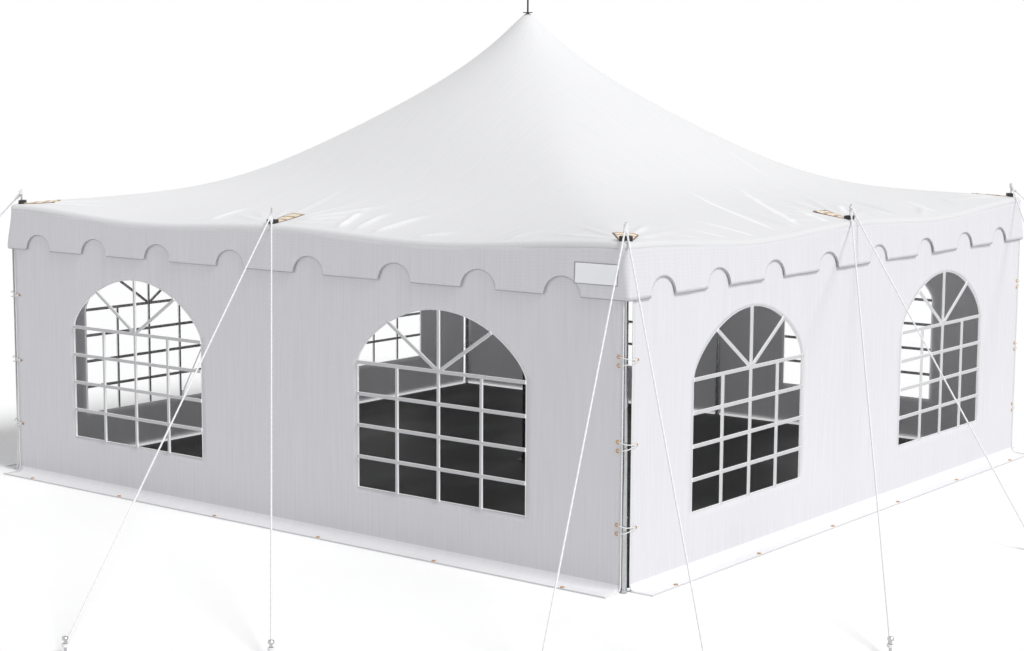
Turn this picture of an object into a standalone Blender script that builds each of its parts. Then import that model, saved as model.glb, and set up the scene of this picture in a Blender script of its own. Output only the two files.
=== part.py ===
"""Marquee tent, 20 ft square: one centre pole, eight side poles, a peaked roof and four window walls.

Metres, +Z up. The origin is the middle of the tent at ground level. The front wall faces -Y and the
right wall faces +X. Every side is built facing -Y and then turned about the centre, so all four match.
"""

import math

import bmesh
import bpy
from mathutils import Matrix, Vector

# Clearance kept between pieces that touch, and the thickness that cloth and film are given
GAP = 0.0003
CLOTH = 0.003
FILM = 0.002

# Roof in plan: half the side of the cover, its corner radius, and the roll of cloth over the eave
EAVE_HALF = 3.062
EAVE_CORNER = 0.050
EAVE_ROLL = 0.040
EAVE_ARC_STEPS = 3
EAVE_BAYS = 16

# Roof in height: a shallow outer slope that bends into a steeper inner one and then a flared crown
RIM_HEIGHT = 2.243
RIM_AT = 3.0
OUTER_SLOPE = 0.117
INNER_SLOPE = 0.540
BEND_AT = 1.753
BEND_WIDTH = 0.246
CROWN_RISE = 0.322
CROWN_WIDTH = 0.278
CROWN_ROUND = 0.05
ROUND_UNTIL = 0.2
EAVE_SAG = 0.075
MIDDLE_DROP = 0.030
SAG_FADE = 5.0

# Scalloped valance under the eave
VALANCE_BOTTOM = 1.880
VALANCE_FLARE = 0.015
SCALLOP_CENTRES = (-2.675, -1.989, -1.251, -0.459, 0.335, 1.145, 1.876, 2.560)
SCALLOP_WIDTH = 0.295
SCALLOP_RISE = 0.125

# Window walls, hung inside the valance, with a skirt that turns out on the ground
WALL_TOP = 2.100
WALL_LEFT_END = -2.980
WALL_RIGHT_END = 3.010
SKIRT_RADIUS = 0.110
SKIRT_REACH = 0.175
WINDOW_CENTRE = 1.530
WINDOW_WIDTH = 1.480
WINDOW_SILL = 0.400
WINDOW_SPRING = 1.300
WINDOW_TOP = 1.712
WINDOW_LAP = 0.040

# Poles, their steel pins and the plates on the centre pole
SHEET_HALF = 3.045
POLE_FOOT_CORNER = 3.040
POLE_FOOT_MIDDLE = 3.025
FRONT_POLE_OFFSET = 0.090
PIN_CORNER = 2.985
PIN_MIDDLE = 3.000
POLE_RADIUS = 0.0195
POLE_FOOT_RADIUS = 0.024
POLE_FOOT_HEIGHT = 0.018
CHAMFER = 0.002
PIN_RADIUS = 0.006
PIN_LENGTH = 0.115
PIN_TIP = 0.6
PIN_HOLE = 0.0075
SHOULDER_CLEAR = 0.0024
FLAT_STEP = 0.0001
CENTRE_RADIUS = 0.025
CENTRE_FOOT_RADIUS = 0.060
CENTRE_FOOT_PLATE = 0.008
CENTRE_SOCKET_RADIUS = 0.031
CENTRE_SOCKET_HEIGHT = 0.060
CENTRE_HEAD_RADIUS = 0.085
CENTRE_HEAD_DEPTH = 0.060
CENTRE_HEAD_CLEAR = 0.0018
CENTRE_PIN_RADIUS = 0.007
CENTRE_PIN_LENGTH = 0.130
CROWN_HOLE = 0.0085
WASHER_RADIUS = 0.040
WASHER_THICKNESS = 0.006

# Guy lines, from the pins to stakes in the ground: x and y of the two stakes that each pole has, and
# the height over the cloth where each rope leaves the pin, so that it clears the rolled eave.
# The poles of the back and left sides take the same pairs turned half way round the centre.
ROPE_RADIUS = 0.007
ROPE_STAKE_HEIGHT = 0.060
STAKE_RADIUS = 0.011
STAKE_HEAD_RADIUS = 0.019
STAKE_HEIGHT = 0.110
STAKE_HEAD_DEPTH = 0.018
STAKES = {
    "front_right": ((3.78, -4.98), (4.48, -4.39)),
    "front_middle": ((1.35, -6.20), (2.30, -5.50)),
    "right_middle": ((4.95, -3.20), (4.60, -0.30)),
    "back_right": ((4.60, 1.40), (5.20, 3.90)),
}
ROPE_HEIGHTS = {
    "front_right": (0.100, 0.083),
    "front_middle": (0.064, 0.047),
    "right_middle": (0.064, 0.090),
    "back_right": (0.100, 0.083),
}
OPPOSITE = {
    "front_right": "back_left",
    "front_middle": "back_middle",
    "right_middle": "left_middle",
    "back_right": "front_left",
}

SIDES = ("front", "right", "back", "left")


def clear_scene():
    for obj in list(bpy.data.objects):
        bpy.data.objects.remove(obj, do_unlink=True)


def give_material(obj, colour, roughness, metallic=0.0):
    """Gives the object a finish of its own."""
    finish = bpy.data.materials.new(obj.name + "_finish")
    finish.use_nodes = True
    shader = finish.node_tree.nodes["Principled BSDF"]
    shader.inputs["Base Color"].default_value = (*colour, 1.0)
    shader.inputs["Roughness"].default_value = roughness
    shader.inputs["Metallic"].default_value = metallic
    obj.data.materials.append(finish)


def new_object(name, verts, faces, smooth_angle=None):
    mesh = bpy.data.meshes.new(name)
    mesh.from_pydata([tuple(v) for v in verts], [], faces)
    mesh.validate()
    form = bmesh.new()
    form.from_mesh(mesh)
    bmesh.ops.recalc_face_normals(form, faces=form.faces)
    form.to_mesh(mesh)
    form.free()
    if smooth_angle is not None:
        mesh.shade_smooth()
        mesh.set_sharp_from_angle(angle=math.radians(smooth_angle))
    obj = bpy.data.objects.new(name, mesh)
    bpy.context.scene.collection.objects.link(obj)
    return obj


def turn_to_side(obj, side):
    """Turns a piece that was built for the front to another side of the tent."""
    obj.matrix_world = Matrix.Rotation(side * math.pi / 2, 4, "Z")


def shell_from_grids(outer, inner):
    """Closes two equal grids of points, one over the other, into the faces of one thin solid.

    Both layers are split into triangles along the same diagonals, so that they never cross.
    """
    rows, columns = len(outer), len(outer[0])
    verts = [p for row in outer for p in row] + [p for row in inner for p in row]
    below = rows * columns

    def at(row, column, layer):
        return layer * below + row * columns + column

    faces = []
    for row in range(rows - 1):
        for column in range(columns - 1):
            start, end = (row, column), (row + 1, column + 1)
            for half in ((start, (row, column + 1), end), (start, end, (row + 1, column))):
                faces.append([at(r, c, 0) for r, c in half])
                faces.append([at(r, c, 1) for r, c in reversed(half)])
    rim = [(0, c) for c in range(columns)]
    rim += [(r, columns - 1) for r in range(1, rows)]
    rim += [(rows - 1, c) for c in range(columns - 2, -1, -1)]
    rim += [(r, 0) for r in range(rows - 2, 0, -1)]
    for here, there in zip(rim, rim[1:] + rim[:1]):
        faces.append([at(*here, 0), at(*here, 1), at(*there, 1), at(*there, 0)])
    return verts, faces


def cut(obj, cutter):
    """Subtracts a hidden cutter from a piece."""
    cutter.hide_render = True
    cutter.display_type = "WIRE"
    boolean = obj.modifiers.new("cut_" + cutter.name, "BOOLEAN")
    boolean.operation = "DIFFERENCE"
    boolean.object = cutter
    boolean.solver = "EXACT"


def turned(name, profile, segments, axis=lambda z: (0.0, 0.0), smooth_angle=40):
    """Stacks level rings of the given (height, radius) pairs round an axis that may lean."""
    verts, faces = [], []
    for height, radius in profile:
        x, y = axis(height)
        for i in range(segments):
            angle = 2 * math.pi * i / segments
            verts.append((x + radius * math.cos(angle), y + radius * math.sin(angle), height))
    for ring in range(len(profile) - 1):
        for i in range(segments):
            j = (i + 1) % segments
            low, high = ring * segments, (ring + 1) * segments
            faces.append((low + i, low + j, high + j, high + i))
    faces.append(list(range(segments))[::-1])
    faces.append([(len(profile) - 1) * segments + i for i in range(segments)])
    return new_object(name, verts, faces, smooth_angle)


# Roof cover


def smoothstep(value):
    value = min(max(value, 0.0), 1.0)
    return value * value * (3 - 2 * value)


def roof_height(x, y):
    """Top of the taut roof cloth: round level lines by the crown, square ones by the eave."""
    reach = max(abs(x), abs(y))
    other = min(abs(x), abs(y))
    squareness = smoothstep((reach - ROUND_UNTIL) / (RIM_AT - ROUND_UNTIL))
    along_hip = math.hypot(x, y) / math.sqrt(2) * (1 - squareness) + reach * squareness
    bend = BEND_WIDTH * math.log1p(math.exp((BEND_AT - along_hip) / BEND_WIDTH))
    crown = CROWN_RISE * math.exp(-math.hypot(along_hip, CROWN_ROUND) / CROWN_WIDTH)
    height = RIM_HEIGHT + OUTER_SLOPE * (RIM_AT - along_hip) + INNER_SLOPE * bend + crown
    near_eave = (reach / RIM_AT) ** SAG_FADE
    sag = EAVE_SAG * math.sin(math.pi * other / RIM_AT) ** 2
    middle = MIDDLE_DROP * math.cos(math.pi * other / RIM_AT / 2) ** 2
    return height - near_eave * (sag + middle)


def eave_samples():
    """Points (along, out) on the edge of the front roof panel, hip to hip, with the way out at each."""
    straight = EAVE_HALF - EAVE_CORNER
    arc_steps = EAVE_ARC_STEPS
    samples = []
    for i in range(arc_steps):
        angle = math.radians(-45 + 45 * i / arc_steps)
        out = Vector((math.sin(angle), math.cos(angle)))
        samples.append((Vector((-straight, straight)) + out * EAVE_CORNER, out))
    for i in range(EAVE_BAYS + 1):
        along = straight * (2 * i / EAVE_BAYS - 1)
        samples.append((Vector((along, EAVE_HALF)), Vector((0.0, 1.0))))
    for i in range(1, arc_steps + 1):
        angle = math.radians(45 * i / arc_steps)
        out = Vector((math.sin(angle), math.cos(angle)))
        samples.append((Vector((straight, straight)) + out * EAVE_CORNER, out))
    return samples


def part_at_hips(points):
    """Draws the first and last column in by half a gap, so that neighbouring panels only touch."""
    inset = GAP / math.sqrt(2)
    points[0] = points[0] + Vector((inset, 0, 0))
    points[-1] = points[-1] - Vector((inset, 0, 0))
    return points


def to_front(plan, height):
    """Turns (along, out) and a height into a point of the front side, which faces -Y."""
    return Vector((plan[0], -plan[1], height))


def roof_panel(side):
    samples = eave_samples()
    spread = math.pi / 2 / (len(samples) - 1)
    steps = (0.0, 0.008, 0.017, 0.03, 0.055, 0.09, 0.15, 0.23, 0.32, 0.42, 0.52, 0.62, 0.74, 0.87, 1.0)
    roll_angles = (30, 60, 90)
    outer, inner = [], []
    for step in steps:
        top, under = [], []
        for column, (edge, out) in enumerate(samples):
            angle = spread * column - math.pi / 4
            start = Vector((math.sin(angle), math.cos(angle))) * CROWN_HOLE
            plan = start + (edge - out * EAVE_ROLL - start) * step
            height = roof_height(plan[0], plan[1])
            top.append(to_front(plan, height))
            under.append(to_front(plan, height - CLOTH))
        outer.append(part_at_hips(top))
        inner.append(part_at_hips(under))
    for degrees in roll_angles:
        angle = math.radians(degrees)
        top, under = [], []
        for edge, out in samples:
            centre = edge - out * EAVE_ROLL
            base = roof_height(centre[0], centre[1]) - EAVE_ROLL
            for radius, row in ((EAVE_ROLL, top), (EAVE_ROLL - CLOTH, under)):
                plan = centre + out * radius * math.sin(angle)
                row.append(to_front(plan, base + radius * math.cos(angle)))
        outer.append(part_at_hips(top))
        inner.append(part_at_hips(under))
    panel = new_object("roof_panel_" + SIDES[side], *shell_from_grids(outer, inner), smooth_angle=50)
    turn_to_side(panel, side)
    give_material(panel, (0.82, 0.83, 0.85), 0.45)
    return panel


def eave_bottom(plan, out):
    """Height where the rolled eave ends and the valance begins."""
    centre = plan - out * EAVE_ROLL
    return roof_height(centre[0], centre[1]) - EAVE_ROLL


def straight_eave():
    """(along, height) of the eave's lower edge at each of its straight samples."""
    return [(edge[0], eave_bottom(edge, out)) for edge, out in eave_samples() if out[0] == 0.0]


def eave_line(along):
    """Height of the eave's lower edge between its samples, on straight chords."""
    line = straight_eave()
    for (low, low_height), (high, high_height) in zip(line, line[1:]):
        if along <= high + GAP:
            return low_height + (high_height - low_height) * (along - low) / (high - low)


def scallop_samples():
    """Points (along, bottom height) of the valance's lower edge, with an arch cut at each scallop.

    It also has a point wherever the eave above it bends.
    """
    steps = 8
    nearest = 0.01
    bends = [along for along, height in straight_eave()[1:-1]]
    points = []
    for centre in SCALLOP_CENTRES:
        for i in range(steps + 1):
            angle = math.pi * i / steps
            along = centre - SCALLOP_WIDTH / 2 * math.cos(angle)
            if all(abs(along - bend) > nearest for bend in bends) or i in (0, steps):
                points.append((along, VALANCE_BOTTOM + SCALLOP_RISE * math.sin(angle)))
    for bend in bends:
        across = min(abs(bend - centre) for centre in SCALLOP_CENTRES) / (SCALLOP_WIDTH / 2)
        rise = SCALLOP_RISE * math.sqrt(max(1.0 - across * across, 0.0))
        points.append((bend, VALANCE_BOTTOM + rise))
    return sorted(points)


def valance(side):
    corner = EAVE_ARC_STEPS + 1
    columns = [(edge, out, eave_bottom(edge, out), VALANCE_BOTTOM) for edge, out in eave_samples()]
    left, right = columns[:corner], columns[-corner:]
    middle = []
    for along, bottom in scallop_samples():
        middle.append((Vector((along, EAVE_HALF)), Vector((0.0, 1.0)), eave_line(along), bottom))
    outer, inner = [], []
    for level in (0.0, 1.0):
        front, back = [], []
        for edge, out, eave, bottom in left + middle + right:
            top = eave - GAP
            height = top + (bottom - top) * level
            flare = VALANCE_FLARE * (top - height) / (top - VALANCE_BOTTOM)
            front.append(to_front(edge + out * flare, height))
            back.append(to_front(edge + out * (flare - CLOTH), height))
        outer.append(part_at_hips(front))
        inner.append(part_at_hips(back))
    strip = new_object("valance_" + SIDES[side], *shell_from_grids(outer, inner), smooth_angle=30)
    turn_to_side(strip, side)
    give_material(strip, (0.80, 0.81, 0.83), 0.45)
    return strip


# Window walls

WALL_FACE = EAVE_HALF - CLOTH - GAP


def skirt_profile():
    """(out, height) of the wall's outer face and inner face, from the top down to the skirt's toe."""
    middle = WALL_FACE - CLOTH / 2
    flat_start = CLOTH / 2
    line = [(middle, WALL_TOP, 0.0)]
    arc_steps = 6
    for i in range(arc_steps + 1):
        angle = math.pi / 2 * i / arc_steps
        out = middle + SKIRT_RADIUS * (1 - math.cos(angle))
        height = flat_start + SKIRT_RADIUS * (1 - math.sin(angle))
        line.append((out, height, angle))
    line.append((middle + SKIRT_REACH, flat_start, math.pi / 2))
    outer = [(o + CLOTH / 2 * math.cos(a), h + CLOTH / 2 * math.sin(a)) for o, h, a in line]
    inner = [(o - CLOTH / 2 * math.cos(a), h - CLOTH / 2 * math.sin(a)) for o, h, a in line]
    return outer, inner


def window_outline(lap):
    """The arched window as (along, height) points round its centre line, grown by a lap."""
    half = WINDOW_WIDTH / 2 + lap
    rise = WINDOW_TOP - WINDOW_SPRING + lap
    steps = 14
    points = [(-half, WINDOW_SILL - lap), (half, WINDOW_SILL - lap)]
    for i in range(steps + 1):
        angle = math.pi * i / steps
        points.append((half * math.cos(angle), WINDOW_SPRING + rise * math.sin(angle)))
    return points


def plate(name, outline, centre, near, far):
    """An upright flat plate on the front side between two distances out from the middle of the tent."""
    count = len(outline)
    verts = [(centre + a, -far, h) for a, h in outline] + [(centre + a, -near, h) for a, h in outline]
    faces = [list(range(count)), list(range(count, 2 * count))[::-1]]
    for i in range(count):
        j = (i + 1) % count
        faces.append((i, j, count + j, count + i))
    return new_object(name, verts, faces)


def wall(side):
    outer_line, inner_line = skirt_profile()
    ends = (WALL_LEFT_END, WALL_RIGHT_END)
    outer = [[to_front((along, out), height) for along in ends] for out, height in outer_line]
    inner = [[to_front((along, out), height) for along in ends] for out, height in inner_line]
    panel = new_object("wall_" + SIDES[side], *shell_from_grids(outer, inner), smooth_angle=40)
    give_material(panel, (0.80, 0.81, 0.83), 0.5)
    turn_to_side(panel, side)
    for number, centre in enumerate((-WINDOW_CENTRE, WINDOW_CENTRE), start=1):
        name = f"{SIDES[side]}_{number}"
        reach = 0.1
        cutter = plate("opening_" + name, window_outline(0.0), centre, WALL_FACE - reach, WALL_FACE + reach)
        turn_to_side(cutter, side)
        cut(panel, cutter)
        inside = WALL_FACE - CLOTH - GAP
        pane = plate("window_" + name, window_outline(WINDOW_LAP), centre, inside - FILM, inside)
        give_material(pane, (0.9, 0.92, 0.93), 0.15)
        turn_to_side(pane, side)
    return panel


# Ground sheet and poles

FLOOR = CLOTH + GAP


def ground_sheet():
    corners = [(-1, -1), (1, -1), (1, 1), (-1, 1)]
    verts = [(x * SHEET_HALF, y * SHEET_HALF, z) for z in (0.0, CLOTH) for x, y in corners]
    faces = [(0, 1, 2, 3), (4, 5, 6, 7)]
    faces += [(i, (i + 1) % 4, 4 + (i + 1) % 4, 4 + i) for i in range(4)]
    sheet = new_object("ground_sheet", verts, faces)
    give_material(sheet, (0.05, 0.05, 0.055), 0.8)


def leaning_axis(foot, head):
    """The pole's middle at each height, on a straight line from its foot to its pin."""
    rise = roof_height(*head) - FLOOR

    def at(height):
        share = (height - FLOOR) / rise
        return foot[0] + (head[0] - foot[0]) * share, foot[1] + (head[1] - foot[1]) * share

    return at


def shoulder_height(head):
    """Top of the tube, just under the lowest point of the cloth that lies on it.

    The cloth is made of flat faces, which hang a little under the curve that roof_height gives.
    """
    x, y = head
    lowest = min(
        roof_height(x + POLE_RADIUS * math.cos(a), y + POLE_RADIUS * math.sin(a))
        for a in (math.pi * i / 8 for i in range(16))
    )
    return lowest - CLOTH - SHOULDER_CLEAR


def side_pole(place, axis, head):
    cloth = roof_height(*head)
    shoulder = shoulder_height(head)
    profile = (
        (FLOOR, POLE_FOOT_RADIUS),
        (FLOOR + POLE_FOOT_HEIGHT, POLE_FOOT_RADIUS),
        (FLOOR + POLE_FOOT_HEIGHT + CHAMFER, POLE_RADIUS),
        (shoulder, POLE_RADIUS),
        (shoulder + FLAT_STEP, PIN_RADIUS),
        (cloth + PIN_LENGTH - CHAMFER, PIN_RADIUS),
        (cloth + PIN_LENGTH, PIN_RADIUS * PIN_TIP),
    )
    pole = turned("side_pole_" + place, profile, 12, axis)
    give_material(pole, (0.86, 0.86, 0.86), 0.35)


def pin_hole(place, head, panels):
    """The eyelet that the pin comes through, cut from the roof panels that meet there."""
    cloth = roof_height(*head)
    reach = 0.05
    profile = ((cloth - reach, PIN_HOLE), (cloth + reach, PIN_HOLE))
    cutter = turned("eyelet_" + place, profile, 12, lambda z: head)
    for panel in panels:
        cut(panel, cutter)


def centre_pole():
    def under_cloth(radius):
        return roof_height(radius, 0.0) - CLOTH - CENTRE_HEAD_CLEAR

    edge = under_cloth(CENTRE_HEAD_RADIUS)
    top = roof_height(CROWN_HOLE, 0.0)
    profile = [
        (FLOOR, CENTRE_FOOT_RADIUS),
        (FLOOR + CENTRE_FOOT_PLATE, CENTRE_FOOT_RADIUS),
        (FLOOR + CENTRE_FOOT_PLATE + CHAMFER, CENTRE_SOCKET_RADIUS),
        (FLOOR + CENTRE_SOCKET_HEIGHT, CENTRE_SOCKET_RADIUS),
        (FLOOR + CENTRE_SOCKET_HEIGHT + CHAMFER, CENTRE_RADIUS),
        (edge - CENTRE_HEAD_DEPTH, CENTRE_RADIUS),
        (edge - CENTRE_HEAD_DEPTH / 2, CENTRE_HEAD_RADIUS * 0.88),
        (edge, CENTRE_HEAD_RADIUS),
    ]
    # The domed top of the head follows the cloth inwards as far as the pin
    profile += [(under_cloth(radius), radius) for radius in (0.060, 0.035, 0.016)]
    profile += [
        (profile[-1][0] + FLAT_STEP, CENTRE_PIN_RADIUS),
        (top + CENTRE_PIN_LENGTH - CHAMFER, CENTRE_PIN_RADIUS),
        (top + CENTRE_PIN_LENGTH, CENTRE_PIN_RADIUS * PIN_TIP),
    ]
    pole = turned("centre_pole", profile, 16)
    give_material(pole, (0.86, 0.86, 0.86), 0.35)


def peak_washer():
    """The black disc that clamps the crown of the cloth round the centre pin."""
    segments = 16
    hole = CENTRE_PIN_RADIUS + 0.0005
    low = roof_height(CROWN_HOLE, 0.0) + GAP
    high = low + WASHER_THICKNESS
    rim = ((low, hole), (high, hole), (high, WASHER_RADIUS), (low, WASHER_RADIUS))
    verts, faces = [], []
    for height, radius in rim:
        for i in range(segments):
            angle = 2 * math.pi * i / segments
            verts.append((radius * math.cos(angle), radius * math.sin(angle), height))
    for ring in range(4):
        for i in range(segments):
            j = (i + 1) % segments
            here, there = ring * segments, (ring + 1) % 4 * segments
            faces.append((here + i, here + j, there + j, there + i))
    washer = new_object("peak_washer", verts, faces, smooth_angle=40)
    give_material(washer, (0.02, 0.02, 0.02), 0.5)


# Guy lines


def guy_line(name, axis, height, stake):
    """One taut rope from beside the pin down to its stake, with the part of the stake above ground."""
    pin = Vector((*axis(height), height))
    foot = Vector((*stake, ROPE_STAKE_HEIGHT))
    way = (foot - pin).normalized()
    level = math.hypot(way.x, way.y)
    clear = (PIN_RADIUS + GAP + ROPE_RADIUS * abs(way.z)) / level
    start = pin + way * clear
    across = Vector((-way.y, way.x, 0)).normalized()
    over = way.cross(across)
    sides = 8
    verts = []
    for centre in (start, foot):
        for i in range(sides):
            angle = 2 * math.pi * i / sides
            verts.append(centre + (across * math.cos(angle) + over * math.sin(angle)) * ROPE_RADIUS)
    faces = [list(range(sides))[::-1], [sides + i for i in range(sides)]]
    faces += [(i, (i + 1) % sides, sides + (i + 1) % sides, sides + i) for i in range(sides)]
    line = new_object(name, verts, faces, smooth_angle=50)
    give_material(line, (0.85, 0.85, 0.85), 0.7)
    head = STAKE_HEIGHT - STAKE_HEAD_DEPTH
    profile = (
        (0.0, STAKE_RADIUS),
        (head - 2 * CHAMFER, STAKE_RADIUS),
        (head, STAKE_HEAD_RADIUS),
        (STAKE_HEIGHT - 2 * CHAMFER, STAKE_HEAD_RADIUS),
        (STAKE_HEIGHT, STAKE_HEAD_RADIUS * 0.8),
    )
    peg = turned("stake_of_" + name, profile, 12, lambda z: stake)
    peg.hide_render = True
    peg.display_type = "WIRE"
    join = line.modifiers.new("join_stake", "BOOLEAN")
    join.operation = "UNION"
    join.object = peg
    join.solver = "EXACT"


def build():
    clear_scene()
    panels = [roof_panel(side) for side in range(4)]
    for side in range(4):
        valance(side)
        wall(side)
    ground_sheet()
    centre_pole()
    peak_washer()
    corner_foot, corner_pin = POLE_FOOT_CORNER, PIN_CORNER
    # Place of each pole, its foot, its pin and the roof panels that its pin comes through.
    # The front middle pole stands a little to the left, as it does in use.
    poles = {
        "front_right": ((corner_foot, -corner_foot), (corner_pin, -corner_pin), (0, 1)),
        "front_middle": ((-FRONT_POLE_OFFSET, -POLE_FOOT_MIDDLE), (-FRONT_POLE_OFFSET, -PIN_MIDDLE), (0,)),
        "right_middle": ((POLE_FOOT_MIDDLE, 0.0), (PIN_MIDDLE, 0.0), (1,)),
        "back_right": ((corner_foot, corner_foot), (corner_pin, corner_pin), (1, 2)),
    }
    for place, (foot, head, sides) in poles.items():
        for turn, at in ((1, place), (-1, OPPOSITE[place])):
            here = (turn * head[0], turn * head[1])
            axis = leaning_axis((turn * foot[0], turn * foot[1]), here)
            side_pole(at, axis, here)
            crossed = sides if turn == 1 else [(side + 2) % 4 for side in sides]
            pin_hole(at, here, [panels[side] for side in crossed])
            for letter, (x, y), above in zip("ab", STAKES[place], ROPE_HEIGHTS[place]):
                height = roof_height(*here) + above
                guy_line(f"guy_line_{at}_{letter}", axis, height, (turn * x, turn * y))


build()
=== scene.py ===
import math
import random

import bmesh
import bpy
import numpy as np
from mathutils import Matrix, Vector


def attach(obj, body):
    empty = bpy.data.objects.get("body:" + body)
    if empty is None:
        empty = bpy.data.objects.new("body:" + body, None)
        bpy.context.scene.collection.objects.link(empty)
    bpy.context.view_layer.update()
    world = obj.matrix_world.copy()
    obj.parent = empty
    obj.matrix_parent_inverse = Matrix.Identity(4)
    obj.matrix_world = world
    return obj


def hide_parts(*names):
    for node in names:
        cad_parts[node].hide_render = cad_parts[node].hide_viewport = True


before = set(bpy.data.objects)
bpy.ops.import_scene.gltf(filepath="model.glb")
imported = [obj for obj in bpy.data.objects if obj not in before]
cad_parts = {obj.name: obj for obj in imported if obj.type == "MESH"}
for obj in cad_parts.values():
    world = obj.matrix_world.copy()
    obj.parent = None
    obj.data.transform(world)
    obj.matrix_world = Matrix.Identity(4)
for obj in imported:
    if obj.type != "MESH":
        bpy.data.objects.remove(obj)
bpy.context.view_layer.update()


# Camera, at the photograph's viewing angle: a little above the eaves, off the tent's near corner. The
# photograph is cut from a wider one, so the lens is shifted sideways to frame the tent as it does.
VIEW_FROM = Vector((9.6265, -13.0042, 3.2335))
VIEW_YAW = 0.7034
VIEW_PITCH = -0.1268
VIEW_ROLL = -0.0020
LENS = 67.08
LENS_SHIFT = 0.109

towards = Vector((-math.sin(VIEW_YAW) * math.cos(VIEW_PITCH),
                  math.cos(VIEW_YAW) * math.cos(VIEW_PITCH),
                  math.sin(VIEW_PITCH)))
level = Vector((math.cos(VIEW_YAW), math.sin(VIEW_YAW), 0.0))
upright = level.cross(towards)
right = level * math.cos(VIEW_ROLL) + upright * math.sin(VIEW_ROLL)
up = upright * math.cos(VIEW_ROLL) - level * math.sin(VIEW_ROLL)
lens = bpy.data.cameras.new("view")
lens.lens = LENS
lens.sensor_width = 36.0
lens.shift_x = LENS_SHIFT
lens.clip_end = 200.0
camera = bpy.data.objects.new("view", lens)
camera.matrix_world = Matrix.Translation(VIEW_FROM) @ Matrix((right, up, -towards)).transposed().to_4x4()
bpy.context.scene.collection.objects.link(camera)
bpy.context.scene.camera = camera


# Studio: a white sky all round, one soft sun from the right and high up, and a plain pale floor. The sky
# behind the tent and in its steel shows pure white, as in the photograph, and lights the cloth less.
SUN_FROM = Vector((1.55, -0.11, 1.71))
SUN_POWER = 2.2
SUN_SOFTNESS = 0.35
SKY_LIGHT = 0.45
SKY_COLOUR = (0.985, 0.99, 1.0, 1.0)
PURE_WHITE = (1.0, 1.0, 1.0, 1.0)
FLOOR_REACH = 45.0
FLOOR_DEPTH = -0.0015
FLOOR_COLOUR = (0.97, 0.97, 0.97, 1.0)
FLOOR_GLOW = 0.07

sun_lamp = bpy.data.lights.new("sun", "SUN")
sun_lamp.energy = SUN_POWER
sun_lamp.angle = SUN_SOFTNESS
sun = bpy.data.objects.new("sun", sun_lamp)
sun.rotation_euler = SUN_FROM.to_track_quat("Z", "Y").to_euler()
bpy.context.scene.collection.objects.link(sun)

sky = bpy.data.worlds.new("studio_sky")
sky.use_nodes = True
sky_nodes, sky_links = sky.node_tree.nodes, sky.node_tree.links
seen_sky = sky_nodes.new("ShaderNodeBackground")
seen_sky.inputs["Color"].default_value = PURE_WHITE
lighting_sky = sky_nodes["Background"]
lighting_sky.inputs["Color"].default_value = SKY_COLOUR
lighting_sky.inputs["Strength"].default_value = SKY_LIGHT
ray_kind = sky_nodes.new("ShaderNodeLightPath")
sky_choice = sky_nodes.new("ShaderNodeMixShader")
seen_or_mirrored = sky_nodes.new("ShaderNodeMath")
seen_or_mirrored.operation = "MAXIMUM"
sky_links.new(ray_kind.outputs["Is Camera Ray"], seen_or_mirrored.inputs[0])
sky_links.new(ray_kind.outputs["Is Glossy Ray"], seen_or_mirrored.inputs[1])
sky_links.new(seen_or_mirrored.outputs["Value"], sky_choice.inputs["Fac"])
sky_links.new(lighting_sky.outputs["Background"], sky_choice.inputs[1])
sky_links.new(seen_sky.outputs["Background"], sky_choice.inputs[2])
sky_links.new(sky_choice.outputs["Shader"], sky_nodes["World Output"].inputs["Surface"])
bpy.context.scene.world = sky
bpy.context.scene.view_settings.view_transform = "Standard"
bpy.context.scene.view_settings.look = "None"


def new_piece(name, verts, faces, finish, side=0, smooth_angle=None):
    """A mesh object from points of the front side, turned to its own side of the tent."""
    mesh = bpy.data.meshes.new(name)
    mesh.from_pydata([tuple(point) for point in verts], [], faces)
    mesh.transform(Matrix.Rotation(side * math.pi / 2, 4, "Z"))
    mesh.update()
    if smooth_angle is not None:
        mesh.shade_smooth()
        mesh.set_sharp_from_angle(angle=math.radians(smooth_angle))
    mesh.materials.append(finish)
    piece = bpy.data.objects.new(name, mesh)
    bpy.context.scene.collection.objects.link(piece)
    return piece


def add_glow(shader, strength):
    """A little white light of its own: it keeps the floor evenly bright, and on the webbing, wall lining and
    bar edges it is painted light.
    """
    shader.inputs["Emission Color"].default_value = PURE_WHITE
    shader.inputs["Emission Strength"].default_value = strength


floor_finish = bpy.data.materials.new("studio_floor")
floor_finish.use_nodes = True
floor_shader = floor_finish.node_tree.nodes["Principled BSDF"]
floor_shader.inputs["Base Color"].default_value = FLOOR_COLOUR
floor_shader.inputs["Roughness"].default_value = 1.0
floor_shader.inputs["Specular IOR Level"].default_value = 0.0
add_glow(floor_shader, FLOOR_GLOW)
floor_corners = [(x * FLOOR_REACH, y * FLOOR_REACH, FLOOR_DEPTH)
                 for x, y in ((-1, -1), (1, -1), (1, 1), (-1, 1))]
studio_floor = new_piece("studio_floor", floor_corners, [(0, 1, 2, 3)], floor_finish)


# Poles: steel tubes with a swaged foot and a plain pin through the cloth, the side poles galvanised and the
# centre pole near-black steel: partly its own dark finish, partly painted shade for the dark inside the tent.
# Their shape is the frame's own, so only the finish is added.
STEEL_COLOUR = (0.62, 0.63, 0.64, 1.0)
STEEL_DULL_COLOUR = (0.42, 0.43, 0.44, 1.0)
DARK_STEEL_PAINTED_SHADE_COLOUR = (0.014, 0.014, 0.015, 1.0)
DARK_STEEL_PAINTED_SHADE_WORN_COLOUR = (0.045, 0.045, 0.045, 1.0)
EVEN = (1.0, 1.0, 1.0)


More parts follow.
